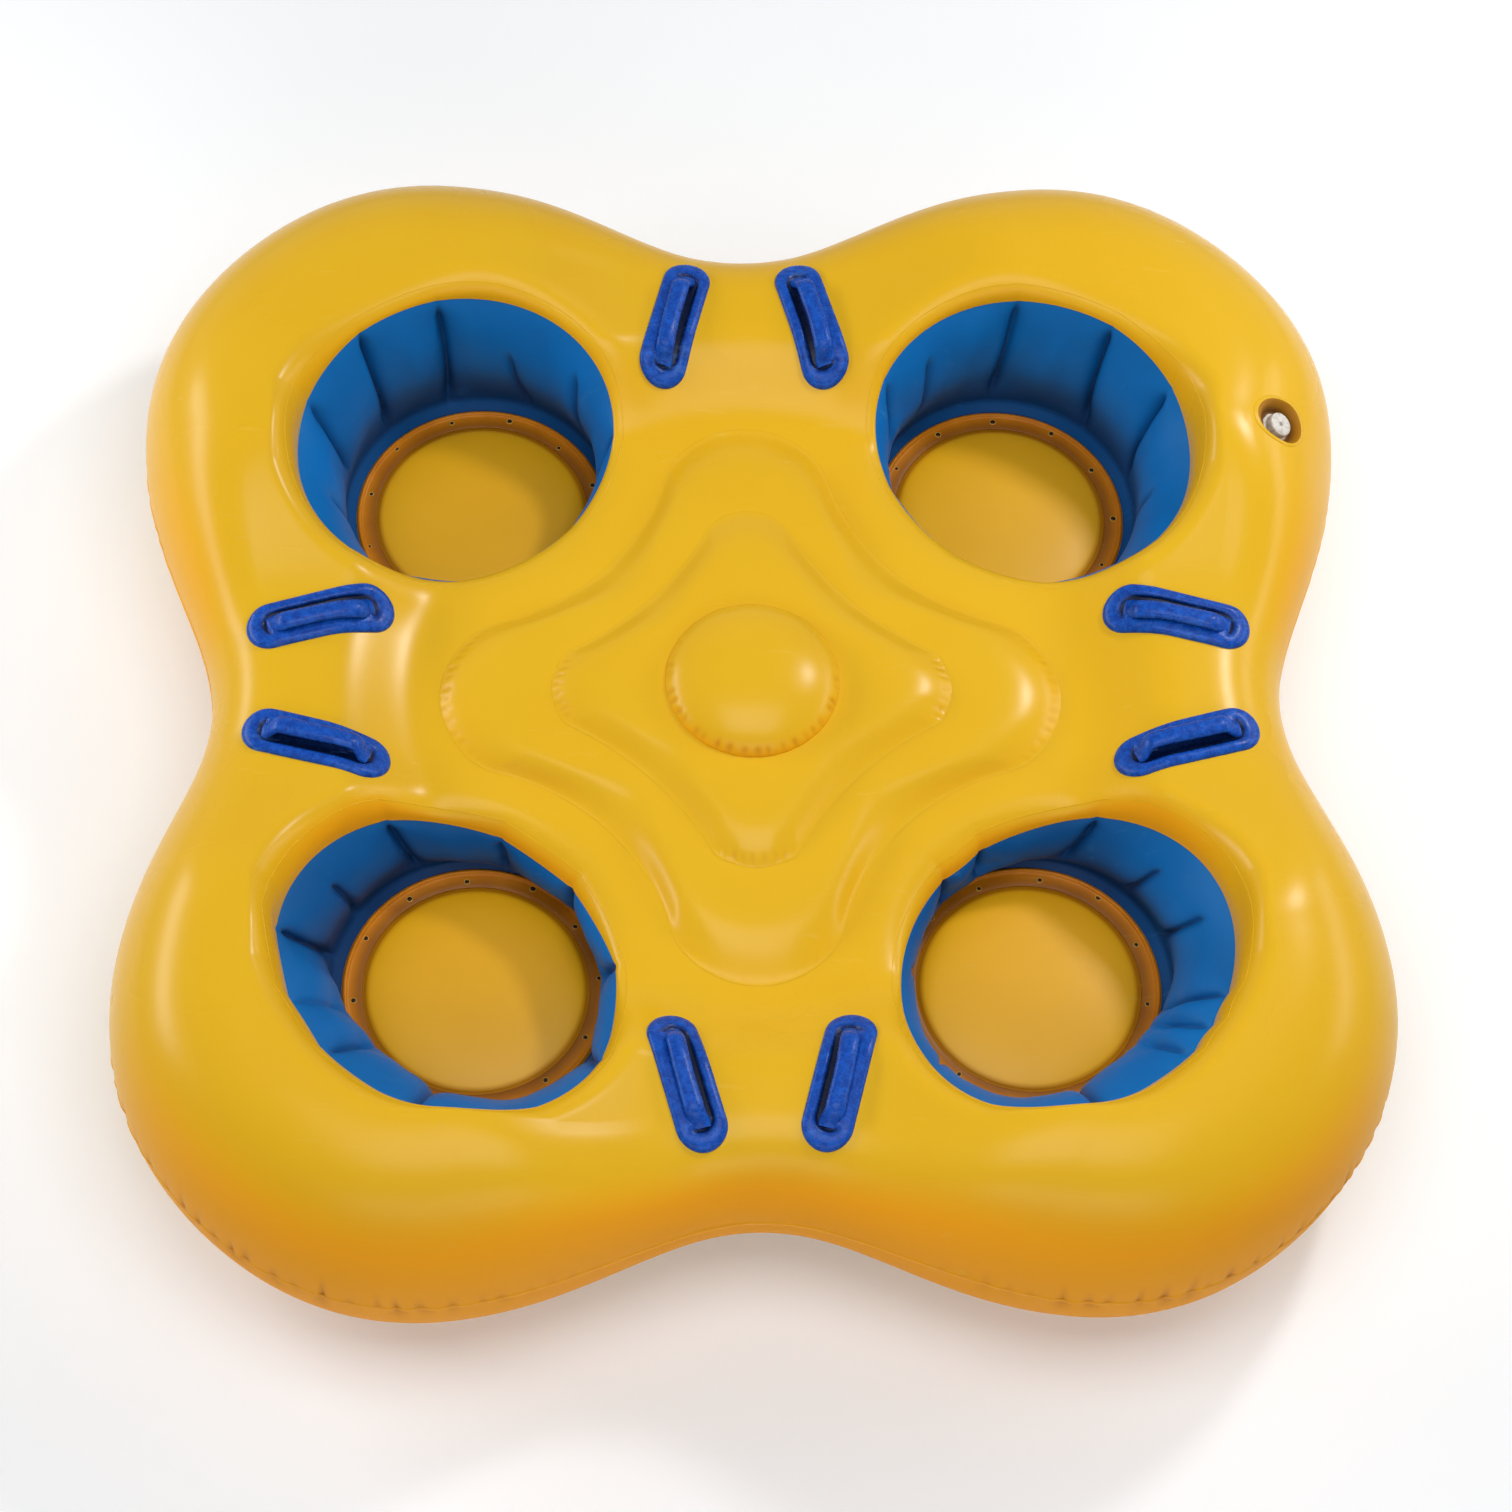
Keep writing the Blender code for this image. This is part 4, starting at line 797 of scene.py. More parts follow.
def makeFlange(quarter, corner):
    middle, inner, top, low = floorMiddle(quarter), flange["inner"], flange["top"], flange["low"]
    profile = [(inner, low), (inner - 0.0006, (top + low) / 2), (inner + 0.0004, top - 0.0008),
               (inner + 0.0016, top - 0.0003), (inner + 0.010, top), (inner + 0.024, top + 0.0010)]
    for i in range(flange["beadSteps"] + 1):
        swing = math.pi * i / flange["beadSteps"]
        profile.append((flange["beadAt"] - flange["beadHalf"] * math.cos(swing),
                        top + flange["beadFoot"] + flange["beadRise"] * math.sin(swing)))
    profile += [(flange["outer"], top), (flange["outer"], low)]
    ring = lathePiece("floorFlange_" + corner, profile, flange["steps"], middle, amberSheet)
    reaches = [(v.co.xy - middle).length for v in ring.data.vertices]
    # painted shade on the band, deepest at the inner lip next to the pad
    addFloats(ring, "foldDepth", [flange["shade"] * smoothStep(flange["beadAt"] - 0.006, inner, r) for r in reaches])
    settle(ring, ["floor_ring_" + corner])


# round floor pad: a flat-topped crown over its weld and a rounder belly under it
pad = {"radius": 0.2115, "weld": 0.249, "top": 0.1827, "low": 0.1818, "crown": 0.022, "belly": 0.030, "steps": 144,
       "crownSteps": 24, "bellySteps": 12, "crownPowers": (2.4, 0.6), "shade": 0.8}


def makePad(quarter, corner):
    middle, (flat, steep) = floorMiddle(quarter), pad["crownPowers"]
    profile = [(0, pad["top"] + pad["crown"])]
    for i in range(1, pad["crownSteps"] + 1):
        share = math.sin(quarterTurn * i / pad["crownSteps"])
        profile.append((pad["radius"] * share, pad["top"] + pad["crown"] * (1 - share ** flat) ** steep))
    profile += [(pad["weld"], pad["top"]), (pad["weld"], pad["low"])]
    for i in range(pad["bellySteps"]):
        share = math.cos(quarterTurn * i / pad["bellySteps"])
        profile.append((pad["radius"] * share, pad["low"] - pad["belly"] * (1 - share ** 2) ** 0.5))
    profile.append((0, pad["low"] - pad["belly"]))
    cushion = lathePiece("floorPad_" + corner, profile, pad["steps"], middle, padSheet)
    # painted shade round the pad's rim, in the gap to the ring
    addFloats(cushion, "foldDepth", [pad["shade"] * smoothStep(0.94, 1.0, (v.co.xy - middle).length / pad["radius"])
                                     for v in cushion.data.vertices])
    settle(cushion, ["floor_pad_" + corner])


# small holes round the ring, each a lip round a dark disc of painted shadow, a little out of place and of uneven size
eyelet = {"count": 12, "circleRadius": 0.2335, "eyeletRadius": 0.0052, "lipRadius": 0.0009, "leastSize": 0.75,
          "mostSize": 1.15, "seed": 3}
eyeletPlace = {"wander": 0.006, "holeDepth": 0.0012, "rise": 0.0004, "turn": 0.3}


def makeEyeletNodes():
    tree, given = newNodes("eyeletsOnCircle", dict(eyelet, lip=None, hole=None))
    circle = addNode(tree, "GeometryNodeMeshCircle", {"Vertices": given["count"], "Radius": given["circleRadius"]})
    wander = eyeletPlace["wander"]
    drift = {0: (-wander, -wander, 0), 1: (wander, wander, 0), "Seed": given["seed"]}
    drift = addNode(tree, "FunctionNodeRandomValue", drift, data_type="FLOAT_VECTOR")
    points = addNode(tree, "GeometryNodeSetPosition", {"Geometry": circle, "Offset": drift})
    path = addNode(tree, "GeometryNodeCurvePrimitiveCircle", {"Resolution": 20, "Radius": given["eyeletRadius"]})
    section = addNode(tree, "GeometryNodeCurvePrimitiveCircle", {"Resolution": 8, "Radius": given["lipRadius"]})
    ring = addNode(tree, "GeometryNodeCurveToMesh", {"Curve": path, "Profile Curve": section})
    ring = addNode(tree, "GeometryNodeSetMaterial", {0: ring, "Material": given["lip"]})
    # a dark disc in each lip paints the shadow inside the hole
    disc = {"Vertices": 20, "Depth": eyeletPlace["holeDepth"], "Radius": given["eyeletRadius"]}
    disc = addNode(tree, "GeometryNodeMeshCylinder", disc)
    disc = addNode(tree, "GeometryNodeSetMaterial", {0: disc, "Material": given["hole"]})
    join = addNode(tree, "GeometryNodeJoinGeometry", {0: ring})
    tree.links.new(disc.outputs[0], join.inputs[0])
    size = {2: given["leastSize"], 3: given["mostSize"], "Seed": given["seed"]}
    size = addNode(tree, "FunctionNodeRandomValue", size).outputs[1]
    copies = addNode(tree, "GeometryNodeInstanceOnPoints", {"Points": points, "Instance": join, "Scale": size})
    whole = addNode(tree, "GeometryNodeRealizeInstances", {0: copies})
    addNode(tree, "NodeGroupOutput", {0: addNode(tree, "GeometryNodeSetShadeSmooth", {0: whole})})
    return tree


eyeletNodes = makeEyeletNodes()


def makeEyelets(quarter, corner):
    obj = newObject("eyelets_" + corner, bpy.data.meshes.new("eyelets_" + corner))
    values = dict(eyelet, seed=eyelet["seed"] + quarter, lip=eyeletLip, hole=paintedHoleShadow)
    applyNodes(obj, eyeletNodes, **values)
    place = Matrix.Translation((*floorMiddle(quarter), flange["top"] + eyeletPlace["rise"]))
    obj.data.transform(place @ Matrix.Rotation(eyeletPlace["turn"] * quarter, 4, "Z"))
    settle(obj)


weldLines = []
for quarter, corner in enumerate(corners):
    makeWall(quarter, corner)
    makeFlange(quarter, corner)
    makePad(quarter, corner)
    makeEyelets(quarter, corner)
    weldLines.append(mouthWeldLine(quarter, corner))
settle(beadPiece("mouthWeldLines", weldLines, weldLine["radius"], weldLine["spacing"], yellowSheet))
print("seat wells made")


# hub pillows: each is a star whose edge is welded down at its tips and eases into the hull between them;
# pinches says how strong they are at the right, rear, left and front tip
tiers = {
    "hubTierLower": {"tip": 0.600, "valley": 0.385, "innerTip": 0.450, "innerValley": 0.285, "base": 0.3803,
                     "height": 0.035, "stands": "hub_lower_tier", "spacing": 0.021, "pinches": (1.0, 0.15, 1.0, 0.2)},
    "hubTierUpper": {"tip": 0.385, "valley": 0.262, "innerTip": 0.250, "innerValley": 0.180, "base": 0.4156,
                     "height": 0.030, "stands": "hub_upper_tier", "spacing": 0.019, "pinches": (1.0, 0.15, 1.0, 1.0)},
}
tierMesh = {"tipSteps": 90, "hollowSteps": 90, "rows": 28, "rowPower": 1.7, "lobePower": 1.5, "full": 2.8,
            "pinchDepth": 0.0024, "pinchReach": 0.022, "pinchWidth": 0.0056, "pinchNear": 0.03,
            "sizes": (0.35, 1.0), "widths": (0.7, 1.25), "jitter": (0.75, 1.3), "softSpread": 0.016,
            "softFoot": 0.30, "foot": 0.01, "shade": 0.28, "steep": 0.22, "seed": 8}


def starOutline(tip, valley):
    # round tips joined by hollows that share the wells' centres: place, quarter and nearness to the tip's middle
    centre = mouth["centre"]
    hollow = centre * math.sqrt(2) - valley
    gap = centre - tip
    tipRadius = (gap * gap + centre * centre - hollow * hollow) / (2 * (hollow - gap))
    tipCentre = tip - tipRadius
    join = math.atan2(centre, centre - tipCentre)
    points = []
    for quarter in range(4):
        spin = Matrix.Rotation(quarterTurn * quarter, 2)
        for k in range(tierMesh["tipSteps"]):
            angle = join * (2 * k / tierMesh["tipSteps"] - 1)
            place = Vector((tipCentre + tipRadius * math.cos(angle), tipRadius * math.sin(angle)))
            points.append((spin @ place, quarter, 1 - abs(angle) / join))
        start, end = math.pi + join, 2 * math.pi + quarterTurn - math.pi - join
        for k in range(tierMesh["hollowSteps"]):
            angle = start + (end - start) * k / tierMesh["hollowSteps"]
            place = Vector((centre + hollow * math.cos(angle), centre + hollow * math.sin(angle)))
            points.append((spin @ place, quarter, 0.0))
    return points


def tierColumns(look, chance):
    # for each point of the star: its edge, the flat top's edge, how deep its pinch is and how soft it eases out
    outer = starOutline(look["tip"], look["valley"])
    walked, nextAt, pinches, columns = [0.0], 0.0, [], []
    for (last, _, _), (here, _, _) in zip(outer, outer[1:]):
        walked.append(walked[-1] + (here - last).length)
    for reach in walked:
        if reach >= nextAt:
            pinches.append((reach, chance.uniform(*tierMesh["sizes"]), chance.uniform(*tierMesh["widths"])))
            nextAt = reach + look["spacing"] * chance.uniform(*tierMesh["jitter"])
    for (point, quarter, tipShare), reach in zip(outer, walked):
        bearing = math.atan2(point.y, point.x)
        lobed = abs(math.cos(2 * bearing)) ** tierMesh["lobePower"]
        core = polar(look["innerValley"] + (look["innerTip"] - look["innerValley"]) * lobed, bearing).xy
        strong = look["pinches"][quarter]
        dent = sum(size * math.exp(-((reach - at) / (tierMesh["pinchWidth"] * wide)) ** 2)
                   for at, size, wide in pinches if abs(reach - at) < tierMesh["pinchNear"])
        soft = 1 - smoothStep(0.0, 0.7, tipShare) * min(strong * 1.2, 1.0)
        spread = (point - core).normalized() * tierMesh["softSpread"] * soft
        columns.append((point + spread, core, dent * smoothStep(0.0, 0.45, tipShare) * strong, soft))
    return columns


def makeTier(name, look):
    columns = tierColumns(look, random.Random(tierMesh["seed"] + len(name)))
    shares = arcShares(tierMesh["rows"], tierMesh["rowPower"])
    points, folds, count = [], [], len(columns)
    for share in shares:
        for point, core, dent, soft in columns:
            plan = point.lerp(core, share)
            width = (core - point).length
            foot = tierMesh["foot"] + tierMesh["softFoot"] * soft
            lifted = share * share * (1 + foot) / (share + foot)
            rise = look["height"] * (1 - (1 - lifted) ** tierMesh["full"])
            along = share * width / tierMesh["pinchReach"]
            pinch = min(tierMesh["pinchDepth"] * dent * math.exp(-((along - 0.55) / 0.42) ** 2), 0.5 * rise)
            points.append(Vector((plan.x, plan.y, look["base"] + rise - pinch)))
            # painted shade in the pinches along the tier's edge
            folds.append(min(tierMesh["shade"] * pinch / tierMesh["pinchDepth"], 1.0))
    faces = gridFaces(len(shares), count, True, True)
    last, top = (len(shares) - 1) * count, len(points)
    points += [Vector((0, 0, look["base"] + look["height"])), Vector((0, 0, look["base"]))]
    folds += [0.0, 0.0]
    for k in range(count):
        step = (k + 1) % count
        faces += [(last + k, last + step, top), (step, k, top + 1)]
    tier = newPiece(name, points, faces, yellowSheet)
    faceOutward(tier)
    addFloats(tier, "foldDepth", folds)
    addPaintedShade(tier, tierMesh["steep"])
    settle(tier, [look["stands"]])


for name, look in tiers.items():
    makeTier(name, look)

# dome with pinches round its weld, fewer at the rear
dome = {"radius": 0.167, "base": 0.4459, "height": 0.058, "steps": 288, "rows": 30, "powers": (2.1, 0.58),
        "count": 40, "depth": 0.0028, "width": 0.0050, "reach": 0.020, "near": 0.12, "jitter": 0.25,
        "sizes": (0.4, 1.0), "widths": (0.8, 1.4), "rearShare": 0.25, "shade": 0.6, "steep": 0.5, "seed": 21}


def makeDome():
    chance = random.Random(dome["seed"])
    pinches = []
    for k in range(dome["count"]):
        bearing = 2 * math.pi * (k + chance.uniform(-dome["jitter"], dome["jitter"])) / dome["count"]
        shown = dome["rearShare"] + (1 - dome["rearShare"]) * smoothStep(0.55, -0.35, math.sin(bearing))
        pinches.append((bearing, chance.uniform(*dome["sizes"]) * shown, chance.uniform(*dome["widths"])))
    points, folds = [Vector((0, 0, dome["base"] + dome["height"]))], [0.0]
    flat, steep = dome["powers"]
    for i in range(1, dome["rows"] + 1):
        share = math.sin(quarterTurn * i / dome["rows"])
        inside = (1 - share) * dome["radius"] / dome["reach"]
        height = dome["height"] * (1 - share ** flat) ** steep
        for k in range(dome["steps"]):
            bearing = 2 * math.pi * k / dome["steps"]
            dent = sum(size * math.exp(-(angleGap(bearing, at) * dome["radius"] / (dome["width"] * wide)) ** 2)
                       for at, size, wide in pinches if abs(angleGap(bearing, at)) < dome["near"])
            pinch = dome["depth"] * dent * math.exp(-((inside - 0.30) / 0.30) ** 2)
            points.append(polar(dome["radius"] * share - 0.6 * pinch, bearing, dome["base"] + max(height - pinch, 0)))
            # painted shade in the pinches round the dome's weld
            folds.append(min(dome["shade"] * pinch / dome["depth"], 1.0))
    points.append(Vector((0, 0, dome["base"])))
    folds.append(0.0)
    faces = gridFaces(dome["rows"], dome["steps"], True, False, 1)
    last = 1 + (dome["rows"] - 1) * dome["steps"]
    for k in range(dome["steps"]):
        step = (k + 1) % dome["steps"]
        faces += [(0, 1 + k, 1 + step), (last + step, last + k, len(points) - 1)]
    obj = newPiece("hubDome", points, faces, yellowSheet)
    addFloats(obj, "foldDepth", folds)
    addPaintedShade(obj, dome["steep"])
    settle(obj, ["hub_dome"])


makeDome()
print("hub pillows made")


# moulded grab handles: a base that follows the hull, and a wide bar that bridges its trough; the bar leans to one
# side, and there the trough is filled to a shelf
handle = {"reach": 0.828, "side": 0.138, "toe": 15.0, "length": 0.285, "width": 0.095, "steps": 26, "sideSteps": 22,
          "barWidth": 0.037, "barDepth": 0.0185, "barHeight": 0.0235, "barSides": 24, "footHeight": 0.0010,
          "footAt": 0.100, "slope": 0.036, "slopeSteps": 14, "spanSteps": 16, "narrow": 0.05, "lean": 0.0070,
          "troughInset": 0.016, "shelfHeight": 0.0118, "shelfEdge": (-0.003, 0.006), "shelfEnd": (0.104, 0.092),
          "slotEdge": (0.002, -0.006), "slotEnd": (0.094, 0.102), "troughShade": 0.35}
# inset from the pill's edge, height over the hull, how much shorter the straight part is, shade
handleProfile = [(0.0, -0.006, 0, 0), (0.0, 0.0015, 0, 0.1), (0.0006, 0.0035, 0, 0), (0.0022, 0.0062, 0, 0),
                 (0.0048, 0.0084, 0, 0), (0.0085, 0.0100, 0, 0), (0.0125, 0.0108, 0.002, 0),
                 (0.0160, 0.0110, 0.005, 0), (0.0190, 0.0104, 0.008, 0.1), (0.0212, 0.0090, 0.010, 0.4),
                 (0.0226, 0.0070, 0.011, 0.8),
                 (0.0240, 0.0054, 0.012, 1.0), (0.0262, 0.0046, 0.012, 1.0), (0.034, 0.0044, 0.012, 1.0),
                 (0.0440, 0.0044, 0.012, 1.0)]


def pillRing(inset, shorter):
    radius, straight = handle["width"] / 2 - inset, (handle["length"] - handle["width"]) / 2 - shorter
    points = []
    for end in (1, -1):
        for k in range(handle["steps"] + 1):
            turn = math.pi * k / handle["steps"] - quarterTurn
            points.append((end * (straight + radius * math.cos(turn)), end * radius * math.sin(turn)))
        for k in range(1, handle["sideSteps"]):
            points.append((end * straight * (1 - 2 * k / handle["sideSteps"]), end * radius))
    return points


def handlePlace(arm, side):
    toe = math.radians(-side * handle["toe"])
    centre = Vector((handle["reach"], side * handle["side"]))
    spin = Matrix.Rotation(quarterTurn * arm, 2)

    def drape(x, y, height):
        plan = centre + Vector((x * math.cos(toe) - y * math.sin(toe), x * math.sin(toe) + y * math.cos(toe)))
        middle = centre + Vector((x * math.cos(toe), x * math.sin(toe)))
        placed = onHull(plan.x, plan.y) + hullNormal(middle.x, middle.y, 0.030) * height
        turned = spin @ placed.xy
        return Vector((turned.x, turned.y, placed.z))
    return drape


def drapeBar(drape, x, y, height, spread=0.02):
    # the bar keeps its flat section: it follows the hull's fall along the handle only
    middle = drape(x, 0, 0)
    edge = drape(x, spread, 0) - drape(x, -spread, 0)
    up = (drape(x, 0, spread) - middle).normalized()
    return middle + edge.normalized() * y + up * height


def barStations():
    # place along, height, tilt of the section and its width, from one foot to the other
    half, slope, foot, high = handle["footAt"], handle["slope"], handle["footHeight"], handle["barHeight"]
    rising = [(-half + slope * share, foot + (high - foot) * smoothStep(0.0, 1.0, share), 1)
              for share in arcShares(handle["slopeSteps"])]
    level = [(-half + slope + 2 * (half - slope) * share, high, 1 - handle["narrow"] * math.sin(math.pi * share))
             for share in arcShares(handle["spanSteps"])[1:-1]]
    path = rising + level + [(-x, z, wide) for x, z, wide in reversed(rising)]
    stations = []
    for k, (x, z, wide) in enumerate(path):
        ahead, behind = path[min(k + 1, len(path) - 1)], path[max(k - 1, 0)]
        stations.append((x, z, quarterTurn - math.atan2(ahead[1] - behind[1], ahead[0] - behind[0]), wide))
    return stations


def makeHandle(arm, number):
    side = -1 if number == 1 else 1
    label = arms[arm] + "_" + str(number)
    drape = handlePlace(arm, side)
    lean = handle["lean"] * side * (-1 if arm % 2 == 0 else 1)
    points, folds = [], []
    for inset, height, shorter, shade in handleProfile:
        ring = pillRing(inset, shorter)
        for x, y in ring:
            away = y * math.copysign(1, lean)
            full = 0.0
            if inset > handle["troughInset"]:
                full = smoothStep(*handle["shelfEdge"], away) * smoothStep(*handle["shelfEnd"], abs(x))
            points.append(drape(x, y, height + (handle["shelfHeight"] - height) * full))
            # painted shade: the trough and the base's foot are darkened, most in the slot beside the bar and the holes
            # at its ends, not on the filled shelf
            slot = max(smoothStep(*handle["slotEdge"], away), smoothStep(*handle["slotEnd"], abs(x)))
            folds.append(shade * (1 - full) * (handle["troughShade"] + (1 - handle["troughShade"]) * slot))
    base = newPiece("handleBase_" + label, points, gridFaces(len(handleProfile), len(ring), True, True), handlePvc)
    addFloats(base, "foldDepth", folds)
    closeEnds(base)
    settle(base, ["handle_base_" + label])
    points, sides = [], handle["barSides"]
    stations = barStations()
    for x, z, tilt, wide in stations:
        over = lean * smoothStep(handle["footHeight"], handle["barHeight"], z)
        for k in range(sides):
            swing = 2 * math.pi * k / sides
            across = handle["barWidth"] / 2 * wide * math.cos(swing)
            deep = handle["barDepth"] / 2 * math.sin(swing)
            points.append(drapeBar(drape, x - math.cos(tilt) * deep, across + over, z + math.sin(tilt) * deep))
    grip = newPiece("handleGrip_" + label, points, gridFaces(len(stations), sides), handlePvc)
    closeEnds(grip)
    settle(grip, ["handle_grip_" + label])


for arm in range(4):
    for number in (1, 2):
        makeHandle(arm, number)
print("handles made")


# inflation valve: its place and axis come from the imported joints; its pocket's mouth is drawn out towards the crest
capTurn = next(j for j in frame["joints"] if j["name"] == "cap_turn")
valve = {"place": Vector(capTurn["pos_m"]), "axis": Vector(capTurn["axis"]).normalized(), "hole": 0.0495,
         "holeDepth": 0.03, "fineWithin": 0.095, "fineCuts": 4, "flangeRadius": 0.053, "pocketDepth": 0.026,
         "neck": 0.0192, "steps": 96, "brownInside": 0.0462, "stretch": 0.35, "stretchFrom": (0.031, 0.046),
         "above": 0.08}
valveSpace = Matrix.Translation(valve["place"]) @ valve["axis"].to_track_quat("Z", "Y").to_matrix().to_4x4()
uphill = (valveSpace.inverted().to_3x3() @ Vector((0, 0, 1))).xy.normalized()


def pocketStretch(direction, radius):
    share = max(direction.dot(uphill), 0.0) ** 2
    return 1 + valve["stretch"] * share * smoothStep(*valve["stretchFrom"], radius)


def cutValveHole(obj):
    inverse = valveSpace.inverted()
    bm = bmesh.new()
    bm.from_mesh(obj.data)
    near = [e for e in bm.edges if all((inverse @ v.co).length < valve["fineWithin"] for v in e.verts)]
    bmesh.ops.subdivide_edges(bm, edges=near, cuts=valve["fineCuts"], use_grid_fill=True)
    gone = []
    for face in bm.faces:
        here = inverse @ face.calc_center_median()
        away = here.xy.length
        hole = valve["hole"] * pocketStretch(here.xy / max(away, 1e-6), valve["hole"])
        if away < hole and abs(here.z) < valve["holeDepth"]:
            gone.append(face)
    bmesh.ops.delete(bm, geom=gone, context="FACES")
    bm.to_mesh(obj.data)
    bm.free()


def hullUnder(local):
    # height of the hull over a point of the valve's own plane
    start = valveSpace @ Vector((local.x, local.y, valve["above"]))
    hit = topTree.ray_cast(start, -valve["axis"])[0]
    return (valveSpace.inverted() @ hit).z


# the pocket's section from under the hull's sheet, over its rim, down to the neck and back outside: a height is a
# number in the valve's own plane, or one of the lifts over the hull
pocketLifts = {"deep": -0.008, "under": -0.002, "edge": 0.0006, "rise": 0.0016, "bead": 0.0026, "dip": -0.0008}
pocketProfile = [(0.0440, "deep"), (0.0500, "deep"), (valve["flangeRadius"], "under"), (valve["flangeRadius"], "edge"),
                 (valve["flangeRadius"] - 0.0012, "rise"), (0.0495, "rise"), (0.0483, "bead"), (0.0472, "bead"),
                 (0.0463, "rise"), (0.0456, "edge"), (0.0446, "dip"), (0.0425, -0.0035), (0.0400, -0.0085),
                 (0.0382, -0.0140), (0.0370, -0.0200), (0.0358, -0.0240), (0.0335, -0.0258), (0.0290, -0.0260),
                 (valve["neck"], -0.0260), (valve["neck"], -0.0282), (0.0340, -0.0282), (0.0385, -0.0240),
                 (0.0400, -0.0150)]


def makePocket():
    points, folds, reaches = [], [], []
    for radius, height in pocketProfile:
        for k in range(valve["steps"]):
            local = polar(radius, 2 * math.pi * k / valve["steps"])
            local *= pocketStretch(local.xy / radius, radius)
            local.z = hullUnder(local) + pocketLifts[height] if isinstance(height, str) else height
            points.append(valveSpace @ local)
            reaches.append(radius)
            # painted shade inside the pocket, darker the deeper it goes
            folds.append(0.0 if radius > valve["brownInside"] else min(1.0, max(0.0, -local.z / valve["pocketDepth"])))
    faces = gridFaces(len(pocketProfile), valve["steps"], True, True, 0, True)
    obj = newPiece("valvePocket", points, faces, pocketSheet)
    obj.data.materials.append(yellowSheet)
    for face in obj.data.polygons:
        face.material_index = 1 if min(reaches[n] for n in face.vertices) >= valve["brownInside"] else 0
    addFloats(obj, "foldDepth", folds)
    faceOutward(obj)
    settle(obj, ["valve_boot"])


cutValveHole(topSkin)
settle(topSkin, ["hull_top_panel"])
makePocket()

# moulded collar of the valve body, with scallops for the fingers; its section is a share of the width and a drop
collar = {"inner": 0.0196, "outer": 0.0292, "scallop": 0.0016, "scallops": 9, "low": -0.0259, "top": -0.0222,
          "steps": 144, "section": [(0.0, 0.0006), (0.1, 0.0), (0.75, 0.0), (0.93, 0.0007), (1.0, 0.0022)]}


def makeCollar():
    over = [(share, collar["top"] - drop) for share, drop in collar["section"]]
    profile = [(0.0, collar["low"])] + over + [(1.0, collar["low"])]
    points = []
    for share, height in profile:
        for k in range(collar["steps"]):
            turn = 2 * math.pi * k / collar["steps"]
            outer = collar["outer"] + collar["scallop"] * abs(math.cos(collar["scallops"] * turn / 2))
            points.append(valveSpace @ polar(collar["inner"] + (outer - collar["inner"]) * share, turn, height))
    faces = gridFaces(len(profile), collar["steps"], closed=True)
    obj = newPiece("valveCollar", points, faces, valvePlastic)
    closeEnds(obj)
    settle(obj)


makeCollar()


def makeRibNodes():
    inputs = {"count": 28, "radius": 0.02, "ribWidth": 0.001, "ribHeight": 0.01, "sides": 8, "material": None}
    tree, given = newNodes("ribsRoundCap", inputs)
    circle = addNode(tree, "GeometryNodeMeshCircle", {"Vertices": given["count"], "Radius": given["radius"]})
    rib = {"Vertices": given["sides"], "Radius": given["ribWidth"], "Depth": given["ribHeight"]}
    rib = addNode(tree, "GeometryNodeMeshCylinder", rib)
    copies = addNode(tree, "GeometryNodeInstanceOnPoints", {"Points": circle, "Instance": rib})
    whole = addNode(tree, "GeometryNodeRealizeInstances", {0: copies})
    paint = addNode(tree, "GeometryNodeSetMaterial", {0: whole, "Material": given["material"]})
    addNode(tree, "NodeGroupOutput", {0: paint})
    return tree


ribNodes = makeRibNodes()
# screw cap with a dimple in its worn top and ribs round its side
cap = {"outer": 0.0248, "inner": 0.0191, "top": -0.0035, "roof": -0.0114, "skirt": -0.0211, "dimple": 0.0044,
       "dimpleDepth": 0.0016, "wear": 0.0007, "wearScale": 170, "wearBelow": 0.002, "steps": 96, "ribs": 26,
       "ribWidth": 0.0007, "ribHeight": 0.0080}


def makeCap():
    top, outer, inner, skirt = cap["top"], cap["outer"], cap["inner"], cap["skirt"]
    profile = [(0, top - cap["dimpleDepth"]), (0.0035, top - cap["dimpleDepth"]), (0.0043, top - 0.0012),
               (0.0048, top - 0.0003), (0.0058, top), (0.012, top + 0.0001), (0.0200, top), (0.0228, top - 0.0004),
               (0.0241, top - 0.0012), (outer, top - 0.0026), (outer, skirt + 0.0006), (outer - 0.0006, skirt),
               (inner, skirt), (inner, cap["roof"]), (0, cap["roof"])]
    obj = lathePiece("valveCap", profile, cap["steps"], (0, 0), valvePlastic)
    folds = []
    for vert in obj.data.vertices:
        reach = vert.co.xy.length
        rough = noise.noise(Vector((vert.co.x * cap["wearScale"], vert.co.y * cap["wearScale"], 2.0)))
        if vert.co.z > top - cap["wearBelow"] and reach > 0.004:
            vert.co.z += min(0.0, -0.0003 + cap["wear"] * rough)
        # painted shade fills the dimple; elsewhere the worn top darkens in noisy patches
        folds.append(1.0 if reach < cap["dimple"] else max(0.0, -rough))
    addFloats(obj, "foldDepth", folds)
    obj.data.transform(valveSpace)
    settle(obj, ["valve_cap"], body="cap")
    ribs = newObject("valveCapRibs", bpy.data.meshes.new("valveCapRibs"))
    applyNodes(ribs, ribNodes, count=cap["ribs"], radius=outer, ribWidth=cap["ribWidth"], ribHeight=cap["ribHeight"],
               material=valvePlastic)
    ribs.data.transform(valveSpace @ Matrix.Translation((0, 0, (top + skirt) / 2)))
    settle(ribs, body="cap")


makeCap()
print("valve made")


# inner tie webs, from the top sheet to the bottom one
web = {"inner": 0.210, "half": 0.0006, "below": 0.0035, "steps": 30}


